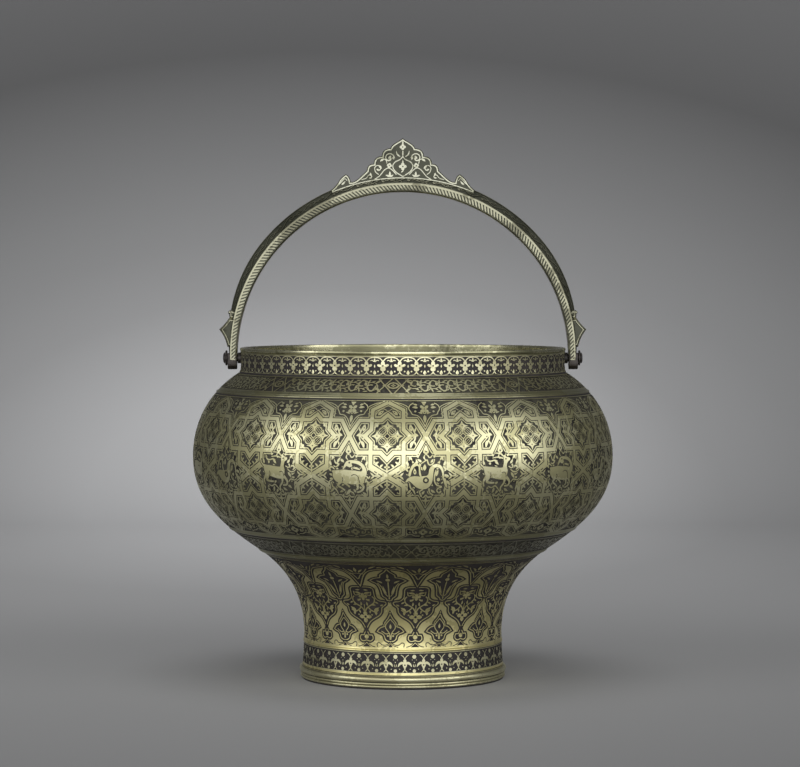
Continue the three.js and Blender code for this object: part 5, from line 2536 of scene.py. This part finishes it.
    def tile(self, closed: int = 0) -> Drawing:
        """Draw a repeat, with a plain end to the left or right where closed is -1 or 1.

        Args:
            closed: The side of the plain end, or 0.

        Returns:
            The repeat.
        """
        out, total = Drawing(True), self.corners[-1]
        half = self.half_tile()
        out.add(half)
        out.shapes += [(shape * [1, -1] + [0, total], metal) for shape, metal in half.shapes]
        if closed:
            ends = sorted((closed * self.width * 0.6, closed * (self.width / 2 - 0.5)))
            out.area(oblong(*ends, -1, total + 1))
        return out

    def build(self) -> None:
        """Make the bow and its two eyes."""
        half, total = self.width / 2, self.corners[-1]
        limit = oblong(-half, half, 0, total)
        across = np.linspace(-half, half, 8)
        folds = [np.column_stack([across, np.full(8, up)]) for up in self.corners]
        sides = [np.column_stack([np.full(len(self.corners), x), self.corners]) for x in (-half, half)]
        edges = [*sides, folds[0], folds[-1]]
        sheets = [cut_sheet(self.tile(end), limit, 3.0, edges, folds[1:-1]) for end in (-1, 0, 1)]
        order = [sheets[0]] + [sheets[1]] * (self.repeats - 2) + [sheets[2]]
        for sheet in sheets:
            sheet.points = sheet.points + [half - radians(self.overlap) * self.reach, 0]
        relief = Relief(self, cut=0.4)
        piece = relief.lay("bow", order, self.width)
        relief.sink_ground(piece)
        with editing():
            bpy.ops.mesh.fill_holes(sides=0)
            face_outwards()
        relief.map_sheet(piece, over=total)
        self.drill(piece)
        finish_piece(piece, Body.BAIL, [BAIL_AND_UNDER_SHADE_BRASS, CREST_GROUND], ["handle_bow"])
        for side in (1, -1):
            self.eye(side)

    def drill(self, piece: Object) -> None:
        """Cut the holes for the pins through both arms.

        Args:
            piece: The bow.
        """
        deselect()
        bpy.ops.mesh.primitive_cylinder_add(
            vertices=EYE_SIDES,
            radius=self.eye_room * MM,
            depth=0.2,
            location=(0, 0, self.pivot * MM),
            rotation=(0, pi / 2, 0),
        )
        bar = bpy.context.object
        choose(piece)
        cut = piece.modifiers.new("holes", "BOOLEAN")
        cut.object, cut.operation, cut.solver = bar, "DIFFERENCE", "EXACT"
        bpy.ops.object.modifier_apply(modifier=cut.name)
        bpy.data.objects.remove(bar)

    def eye(self, side: int) -> Object:
        """Make the dark end of an arm, a block with the pin's hole.

        Args:
            side: 1 on the right and -1 on the left.

        Returns:
            The finished eye.
        """
        half = self.half_depth - 0.2
        around = np.linspace(0, tau, EYE_SIDES, endpoint=False)
        y, z = np.cos(around), np.sin(around)
        tall = np.where(z > 0, self.eye_rise, self.eye_drop)
        grow = np.minimum(half / np.maximum(abs(y), 1e-6), tall / np.maximum(abs(z), 1e-6))
        grow = np.where(z < -0.5, np.minimum(grow, 1.32 * half), grow)
        x = self.inner + 0.15
        loops = np.vstack([np.column_stack([y, z]) * grow[:, None], np.column_stack([y, z]) * self.eye_room])
        places = np.column_stack([np.full(len(loops), side * x), loops[:, 0], self.pivot + loops[:, 1]]) * MM
        edges = [(i, i // EYE_SIDES * EYE_SIDES + (i + 1) % EYE_SIDES) for i in range(len(loops))]
        piece = new_piece(f"{'right' if side > 0 else 'left'}_eye", places, edges)
        with editing():
            bpy.ops.mesh.bridge_edge_loops()
            bpy.ops.mesh.select_all(action="SELECT")
            extrude((side * self.eye_width * MM, 0, 0))
            face_outwards()
        bevel(piece, 0.35)
        return finish_piece(piece, Body.BAIL, [DARK_IRON])


def bevel(piece: Object, width: float) -> None:
    """Round a piece's sharp edges over a width in millimetres.

    Args:
        piece: The object.
        width: How broad the rounding is.
    """
    choose(piece)
    soft = piece.modifiers.new("soft edges", "BEVEL")
    soft.width, soft.segments, soft.limit_method = width * MM, 2, "ANGLE"
    bpy.ops.object.modifier_apply(modifier=soft.name)


@dataclass
class Crest:
    """The lobed plate that straddles the bow's ridge, with raised scrolls on both faces.

    Attributes:
        bow: The bow that it stands on.
        half: Half its thickness.
        edge: Width of its bevelled edge.
        foot: Radius of its underside, inside the bow.
        apex: Height of its tip above the pins.
        notches: The notches between the lobes, from the tip down.
        tail: Where the last lobe runs out.
        tip: The horn's tip.
        end: The horn's outer end.
    """

    bow: Bow
    half: float = 1.5
    edge: float = 0.45
    foot: float = 89.0
    apex: float = 109.5
    notches: tuple[Point, ...] = ((6.2, 104.5), (10.5, 100.6), (14.6, 96.8), (18.0, 93.3))
    tail: Point = (25.9, 87.75)
    tip: Point = (28.5, 91.5)
    end: Point = (36.0, 83.58)

    def place(self, across: Array, up: Array, depth: Array) -> Array:
        """Return the places in metres of points of the front."""
        return np.column_stack([across, depth - self.half, up + self.bow.pivot]) * MM

    def outline(self) -> Array:
        """Draw the outline from the right-hand horn over the lobes and back along the underside.

        Returns:
            The closed outline.
        """
        line = [
            as_points([self.end]),
            bezier(self.end, (33.4, 85.4), (31.9, 88.2), steps=5),
            bezier((31.9, 88.2), (30.8, 90.1), self.tip, steps=5),
            bezier(self.tip, (26.6, 91.2), self.tail),
            bezier(self.tail, (23.4, 87.6), (21.2, 90.4), self.notches[-1]),
        ]
        for low, high in zip(self.notches[::-1], self.notches[-2::-1]):
            bulge = (0.95 * low[0] + 0.05 * high[0], 0.95 * high[1] + 0.05 * low[1])
            line.append(bezier(low, bulge, high))
        line.append(bezier(self.notches[0], (5.5, 106.8), (2.2, 107.7), (0.0, self.apex)))
        right = np.vstack(line)
        turn = np.arcsin(self.end[0] / hypot(*self.end))
        a = np.linspace(-turn, turn, 26)
        under = self.foot * np.column_stack([np.sin(a), np.cos(a)])
        return np.vstack([both_sides(right), under])

    def inset(self, outline: Array, width: float) -> Array:
        """Return an outline drawn inwards by a width.

        Args:
            outline: The closed outline.
            width: How far it is drawn in.

        Returns:
            The smaller outline.
        """
        double = ribbon(outline, 2 * width, True)
        count = len(outline)
        sides = double[:count], double[count + 1 : 2 * count + 2][::-1][:count]
        return min(sides, key=lambda side: np.ptp(side[:, 0]))

    def drawing(self) -> Drawing:
        """Draw the front: lines left standing on a sunk ground.

        Returns:
            The drawing, its origin at the pins' height.
        """
        edge = self.inset(self.outline(), self.edge)
        half = Drawing()
        half.sweep([(0, 100.4), (1.3, 98.9), (3.9, 97.6), (5.0, 95.5), (3.7, 92.9), (0, 90.4)], 0.5, 4)
        half.area(curl(2.7, 0.45, 1.0, 2.2) + [4.1, 99.6])
        half.leaves((7.2, 99.3, 5.9, 100.9, 1.3, 0.2), (4.4, 98.7, 4.4, 100.9, 0.9, -0.3))
        widths = [0.3, 0.5, 0.6, 0.7, 0.7, 0.6, 0.4, 0.3, 0.2]
        half.sweep([(1.3, 100.3), (2.7, 101.4), (3.3, 103.2)], widths, 4)
        half.add(blossom(1.35, 0.3, 10, 0.8), (6.7, 95.9))
        half.sweep([(3.2, 91.4), (5.2, 93.6), (7.2, 94.7), (9.3, 93.5), (11.6, 90.7), (14.2, 88.9)], 0.45, 4)
        for tip, wide in (((4.6, 91.4), 0.9), ((6.5, 93.1), 1.1), ((8.7, 91.2), 0.9)):
            half.leaf((6.6, 90.3), tip, wide, 0.1)
        half.area(curl(1.9, 0.4, 0.95, 2.4) * [-1, 1] + [14.1, 94.4])
        half.sweep([(14.1, 94.4), (13.5, 92.6), (12.0, 91.4)], 0.4, 4).leaf((11.9, 96.0), (10.4, 94.3), 1.1)
        half.sweep([(7.9, 96.8), (8.4, 98.6), (9.9, 99.4)], 0.4, 4).leaf((9.4, 99.0), (11.3, 97.9), 1.1, 0.2)
        half.area(curl(1.3, 0.38, 0.9, 2.2) * [-1, 1] + [17.6, 90.2]).leaf((15.9, 90.7), (16.2, 92.4), 0.9)
        half.sweep([(17.6, 90.2), (18.6, 89.4), (20.6, 88.9)], 0.35, 4)
        half.sweep([(34.0, 85.0), (31.5, 86.8), (29.8, 88.6), (28.8, 89.4), (27.7, 88.3)], 0.35, 4)
        half.leaf((30.6, 86.2), (28.6, 88.2), 0.9, 0.1)
        out = Drawing().both(half)
        out.leaf((0, 100.4), (0, 103.9), 0.7).add(blossom(1.6, 0.35, 0, 0.75), (0, 105.1))
        out.leaf((0, 106.2), (0, 108.4), 0.8).add(blossom(2.0, 0.4, 0, 0.7), (0, 95.4))
        out.leaves((0, 96.8, 0, 98.9, 0.8), (-0.9, 92.4, 0.5, 93.6, 0.6))
        return out.line(edge, 1.15, closed=True).area(self.underside(), False)

    def underside(self) -> Array:
        """Return the part of the face that lies inside the bow.

        Returns:
            The closed outline.
        """
        a = np.linspace(-0.42, 0.42, 40)
        rim = np.column_stack([np.sin(a), np.cos(a)])
        return np.vstack([rim * (self.foot - 1), rim[::-1] * 89.55])

    def build(self) -> Object:
        """Make the front, draw its border back to the middle and mirror it.

        Returns:
            The finished crest.
        """
        outline = self.outline()
        edge = self.inset(outline, self.edge)
        sheet = cut_sheet(self.drawing(), edge, 1.6, [edge])
        relief = Relief(self, cut=0.35)
        piece = relief.lay("crest", [sheet])
        relief.sink_ground(piece)
        for depth, line in ((self.edge, edge), (self.half, outline)):
            with editing(False):
                select_border()
                extrude()
            moved = chosen_corners(piece)
            flat = np.column_stack([read(piece, label) for label in ("across", "up")])
            near = np.argmin(np.linalg.norm(flat[moved][:, None] - line[None], axis=2), axis=1)
            flat[moved] = outline[near]
            back = read(piece, "depth")
            back[moved] = depth
            place_corners(piece, self.place(flat[:, 0], flat[:, 1], back))
            keep(piece, across=flat[:, 0], up=flat[:, 1], depth=back)
        forget(piece)
        with editing():
            bpy.ops.mesh.duplicate()
            bpy.ops.transform.resize(value=(1, -1, 1), center_override=(0, 0, 0))
            bpy.ops.mesh.select_all(action="SELECT")
            bpy.ops.mesh.remove_doubles(threshold=BACK_WELD)
            face_outwards()
        for face in piece.data.polygons:
            if abs(face.normal.y) < 0.9:
                face.material_index = 1
        return finish_piece(piece, Body.BAIL, [CREST_BRASS, CREST_GROUND], ["handle_crest"])


@dataclass
class Spur:
    """A leaf-shaped spur on the outside of an arm, with a small pointed knob above it.

    Attributes:
        bow: The bow that it stands on.
        side: 1 on the right and -1 on the left.
        half: Half its depth.
        foot: Height of its lower end above the pins.
        tip: Height of its tip.
        reach: How far the tip stands out.
        neck: Height at which the leaf ends and the knob starts.
        top: Height of the knob's upper end.
        knob: How far the knob stands out.
    """

    bow: Bow
    side: int
    half: float = 3.0
    foot: float = 5.6
    tip: float = 14.3
    reach: float = 4.7
    neck: float = 19.8
    top: float = 23.6
    knob: float = 1.1

    def ridge(self, height: float) -> float:
        """Return how far out the bow's ridge is at a height above the pins."""
        angle = np.arcsin(np.array([height]) / self.bow.inner)
        return float(self.bow.sizes(angle)[1][0] * np.cos(angle[0]))

    def sunk(self, height: float) -> float:
        """Return how far out the spur's hidden side is."""
        return (self.bow.inner**2 - height**2) ** 0.5 + self.bow.flat[0] / 2

    def build(self) -> None:
        """Make the leaf and the knob."""
        name = "right" if self.side > 0 else "left"
        low = (self.ridge(self.foot) + self.knob / 2, self.foot)
        tip = (self.ridge(self.tip) + self.reach, self.tip)
        high = (self.ridge(self.neck) + self.knob / 2, self.neck)
        rise, fall = self.tip - self.foot, self.neck - self.tip
        leaf_line = [
            (self.sunk(self.foot), self.foot),
            low,
            *bezier(low, (low[0] + 0.9, self.tip - rise * 0.45), tip, steps=6),
            *bezier(tip, (high[0] + 1.5, self.tip + fall * 0.55), high, steps=6),
            (self.sunk(self.neck), self.neck),
        ]
        leaf_piece = self.plate(f"{name}_spur_leaf", leaf_line, 0.95, 1.0)
        self.sink(leaf_piece)
        finish_piece(leaf_piece, Body.BAIL, [BAIL_AND_UNDER_SHADE_BRASS, CREST_GROUND], [f"{name}_spur"], 20)
        middle = (self.neck + self.top) / 2
        out = self.ridge(middle) + self.knob
        line = [
            (self.sunk(self.neck), self.neck - 0.1),
            (self.ridge(self.neck) + 0.2, self.neck - 0.1),
            (out - 0.35, middle + 0.6),
            (out + 0.1, self.top - 0.7),
            (out - 0.3, self.top),
            (self.sunk(self.top), self.top - 0.4),
        ]
        knob = self.plate(f"{name}_spur_knob", line, 0.75, 0.9)
        self.sink(knob)
        finish_piece(knob, Body.BAIL, [BAIL_AND_UNDER_SHADE_BRASS, CREST_GROUND], (), 20)

    def sink(self, piece: Object) -> None:
        """Sink the chosen faces inside a narrow rim and give them the dark finish.

        Args:
            piece: The plate, its front and back selected.
        """
        with editing(False):
            bpy.ops.mesh.inset(thickness=0.3 * MM, depth=0, use_individual=True)
            bpy.ops.mesh.inset(thickness=0.25 * MM, depth=-0.4 * MM, use_individual=True)
        for face in piece.data.polygons:
            face.material_index = int(face.select)

    def plate(self, name: str, outline: Sequence[Point], slope: float, chamfer: float) -> Object:
        """Make a plate with broad bevels.

        Args:
            name: The piece's name.
            outline: Its outline, seen from the front.
            slope: How far the bevels run inwards.
            chamfer: How far they fall back.

        Returns:
            The closed plate.
        """
        flat = as_points(outline)
        edge = self.half - chamfer
        depth = np.full(len(flat), -edge)
        places = np.column_stack([self.side * flat[:, 0], depth, self.bow.pivot + flat[:, 1]]) * MM
        piece = new_piece(name, places, [(i, (i + 1) % len(flat)) for i in range(len(flat))])
        with editing():
            bpy.ops.mesh.edge_face_add()
            extrude((0, 2 * edge * MM, 0))
            face_outwards()
        faces = np.array([abs(p.normal.y) > 0.9 for p in piece.data.polygons])
        select_faces(piece, faces)
        with editing(False):
            bpy.ops.mesh.inset(thickness=slope * MM, depth=chamfer * MM, use_individual=True)
        return piece


@dataclass
class Pivot:
    """One side's riveted pin with its lug on the neck and its washer.

    Attributes:
        side: 1 on the right and -1 on the left.
        height: Height of the pin.
        pin: Radius of the pin.
        head: Radius of its heads.
        lug: Inner end, outer end and radius of the lug.
        washer: Inner end, outer end and radius of the washer.
        inside: Inner head, from the wall inwards.
        outside: Where the outer head starts, and how high its dome is.
    """

    side: int
    height: float = 159.6
    pin: float = 1.8
    head: float = 2.7
    lug: tuple[float, float, float] = (80.6, 82.4, 2.7)
    washer: tuple[float, float, float] = (87.7, 88.6, 3.8)
    inside: tuple[float, float] = (78.45, 77.55)
    outside: tuple[float, float] = (88.9, 0.9)

    def build(self) -> None:
        """Turn the pin, the lug and the washer."""
        start, rise = self.outside
        far, near = self.inside[1], self.inside[0]
        pin = [
            (0, far),
            (self.head - 0.5, far),
            (self.head, far + 0.35),
            (self.head, near),
            (self.pin, near),
            (self.pin, start),
            (self.head, start),
            (self.head, start + rise * 0.35),
            (self.head * 0.72, start + rise * 0.85),
            (self.head * 0.35, start + rise * 0.97),
            (0, start + rise),
        ]
        self.turned("pivot_pin", pin)
        for part, (low, high, radius) in (("lug", self.lug), ("washer", self.washer)):
            bore = self.pin + 0.05 if part == "washer" else self.pin + 0.25
            ring = [(bore, low), (radius - 0.2, low), (radius, low + 0.2), (radius, high - 0.25)]
            ring += [(radius - 0.25, high), (bore, high), (bore, low)]
            self.turned(part, ring)

    def turned(self, part: str, profile: Sequence[Point]) -> Object:
        """Turn one part about the pin's axis.

        Args:
            part: The part's name without its side.
            profile: Radii, and distances from the axis.

        Returns:
            The finished part.
        """
        side = "right" if self.side > 0 else "left"
        piece = turn_profile(f"{side}_{part}_turned", profile, 40, True)
        places = corners_of(piece) * [self.side, 1, 1] + [0, 0, self.height * MM]
        place_corners(piece, places)
        if self.side < 0:
            choose(piece)
            with editing():
                face_outwards()
        return finish_piece(piece, Body.PAIL, [DARK_IRON], [f"{side}_{part}"])


# The studio


@dataclass
class Studio:
    """The pale floor and backdrop, the soft lamps and the camera.

    Attributes:
        distance: From the camera to the pail's axis, in metres.
        height: Height of the camera.
        aside: How far the camera stands to the left.
        focal: Focal length in pixels of an image 800 wide.
        horizon: Row of the horizon in an image 767 high.
        table: Where the floor's front part starts, which lets the low light through.
        glow: Middle of the painted pool of light, the paler patch of the backdrop.
        glow_stretch: How quickly the patch ends to each side.
        greys: Its greys at growing distances from the middle.
        half_width: Half the width of the floor and backdrop.
        back: Where the floor starts to rise.
        bend: Radius of its rise.
        top: Height of the backdrop.
    """

    distance: float = 1.453
    height: float = 0.19766
    aside: float = -0.0014
    focal: float = 2908.0
    horizon: float = 281.7
    table: float = -0.45
    glow: tuple[float, float, float] = (-0.07, 1.073, 0.022)
    glow_stretch: tuple[float, float, float] = (1.0, 0.5, 1.85)
    greys: tuple[tuple[float, float], ...] = (
        (0.0, 0.93),
        (0.1, 0.9),
        (0.2, 0.78),
        (0.285, 0.62),
        (0.35, 0.5),
        (0.45, 0.4),
        (0.52, 0.35),
        (0.6, 0.29),
        (0.8, 0.155),
        (1.0, 0.2),
    )
    half_width: float = 2.5
    back: float = 0.9
    bend: float = 0.7
    top: float = 2.4

    def build(self) -> None:
        """Set up the stage."""
        self.camera()
        self.world()
        self.floor()
        self.lamp("front", (0.06, -1.9, 0.4), (1.95, 2.05), 29.8)
        self.lamp("left", (-1.6, -1.0, 0.75), (1.3, 1.4), 14.5)
        self.lamp("right", (1.6, -1.0, 0.75), (1.3, 1.4), 14.0)
        self.lamp("above", (0.0, -0.1, 1.6), (0.9, 0.8), 4.8)

    def camera(self) -> None:
        """Stand the camera where the photograph was taken."""
        data = bpy.data.cameras.new("camera")
        data.sensor_width = FILM_WIDTH
        data.lens = FILM_WIDTH * self.focal / PHOTO_WIDTH
        data.clip_start = 0.05
        camera = bpy.data.objects.new("camera", data)
        bpy.context.scene.collection.objects.link(camera)
        camera.location = (self.aside, -self.distance, self.height)
        pitch = atan((PHOTO_HEIGHT / 2 - self.horizon) / self.focal)
        camera.rotation_euler = (pi / 2 - pitch, 0.0, 0.0)
        bpy.context.scene.camera = camera

    def world(self) -> None:
        """Light the scene weakly from all round."""
        scene = bpy.context.scene
        world = bpy.data.worlds.new("studio")
        scene.world = world
        world.use_nodes = True
        back = world.node_tree.nodes["Background"]
        back.inputs["Color"].default_value = (0.72, 0.74, 0.76, 1.0)
        back.inputs["Strength"].default_value = 0.18
        scene.view_settings.view_transform = "Standard"

    def floor(self) -> None:
        """Lay a pale floor that rises into a backdrop, and an apron that lets the low light through."""
        paper = self.paper()
        profile = [(self.table, 0.0), (self.back, 0.0)]
        for k in range(1, 13):
            a = k * pi / 24
            profile.append((self.back + self.bend * sin(a), self.bend * (1 - cos(a))))
        profile.append((self.back + self.bend, self.top))
        self.strip("floor", profile, paper)
        apron = self.strip("apron", [(-2.4, 0.0), (self.table, 0.0)], paper)
        apron.visible_diffuse = apron.visible_glossy = False
        apron.visible_transmission = apron.visible_shadow = False

    def strip(self, name: str, profile: Sequence[Point], paper: bpy.types.Material) -> Object:
        """Draw a profile out sideways into a broad sheet of paper.

        Args:
            name: The sheet's name.
            profile: Depths and heights of its profile.
            paper: Its material.

        Returns:
            The sheet.
        """
        points = np.array([(-self.half_width, y, z) for y, z in profile])
        piece = new_piece(name, points, [(i, i + 1) for i in range(len(points) - 1)])
        with editing():
            extrude((2 * self.half_width, 0, 0))
            face_outwards()
        bpy.ops.object.shade_smooth_by_angle(angle=radians(40))
        piece.data.materials.append(paper)
        return piece

    def paper(self) -> bpy.types.Material:
        """Make the grey paper, with a painted pool of light in a broad round paler patch behind the pail.

        Returns:
            The material.
        """
        paper = bpy.data.materials.new("backdrop_paper")
        paper.use_nodes = True
        graph = Graph(paper.node_tree)
        stretch = np.array(self.glow_stretch)
        place = graph.add("TexCoord").outputs["Object"]
        turn = graph.add("Mapping", {"Vector": place, "Scale": stretch, "Location": -stretch * self.glow})
        # Painted light: a round pool, paler behind the pail and darker away from it.
        painted_light_pool = graph.add("TexGradient", {"Vector": turn.outputs["Vector"]})
        painted_light_pool.gradient_type = "SPHERICAL"
        ramp = graph.add("ValToRGB", {"Fac": painted_light_pool.outputs["Fac"]})
        stops = ramp.color_ramp.elements
        for far, _ in self.greys[1:-1]:
            stops.new(1 - far)
        for stop, (far, grey) in zip(stops, self.greys[::-1]):
            stop.position, stop.color = 1 - far, (grey, grey, grey * 1.01, 1.0)
        shader = {"Base Color": ramp.outputs["Color"], "Roughness": 0.9}
        graph.feed(graph.tree.nodes["Principled BSDF"], shader)
        return paper

    def lamp(self, name: str, place: tuple[float, float, float], size: Point, power: float) -> None:
        """Hang a broad soft lamp that faces the pail's belly.

        Args:
            name: The lamp's name.
            place: Where it hangs.
            size: Its width and height.
            power: Its power in watts.
        """
        data = bpy.data.lights.new(name, "AREA")
        data.shape = "RECTANGLE"
        data.size, data.size_y = size
        data.energy = power
        lamp = bpy.data.objects.new(name, data)
        bpy.context.scene.collection.objects.link(lamp)
        lamp.visible_camera = False
        lamp.location = place
        lamp.rotation_euler = (Vector(place) - Vector((0, 0, 0.12))).to_track_quat("Z", "Y").to_euler()


def main() -> None:
    """Build the pail from the foot up, then the studio."""
    outline = Outline()
    Pedestal(outline).build()
    Bowl(outline).build()
    bow = Bow()
    bow.build()
    Crest(bow).build()
    for side in (1, -1):
        Spur(bow, side).build()
        Pivot(side).build()
    Studio().build()


if __name__ == "__main__":
    main()
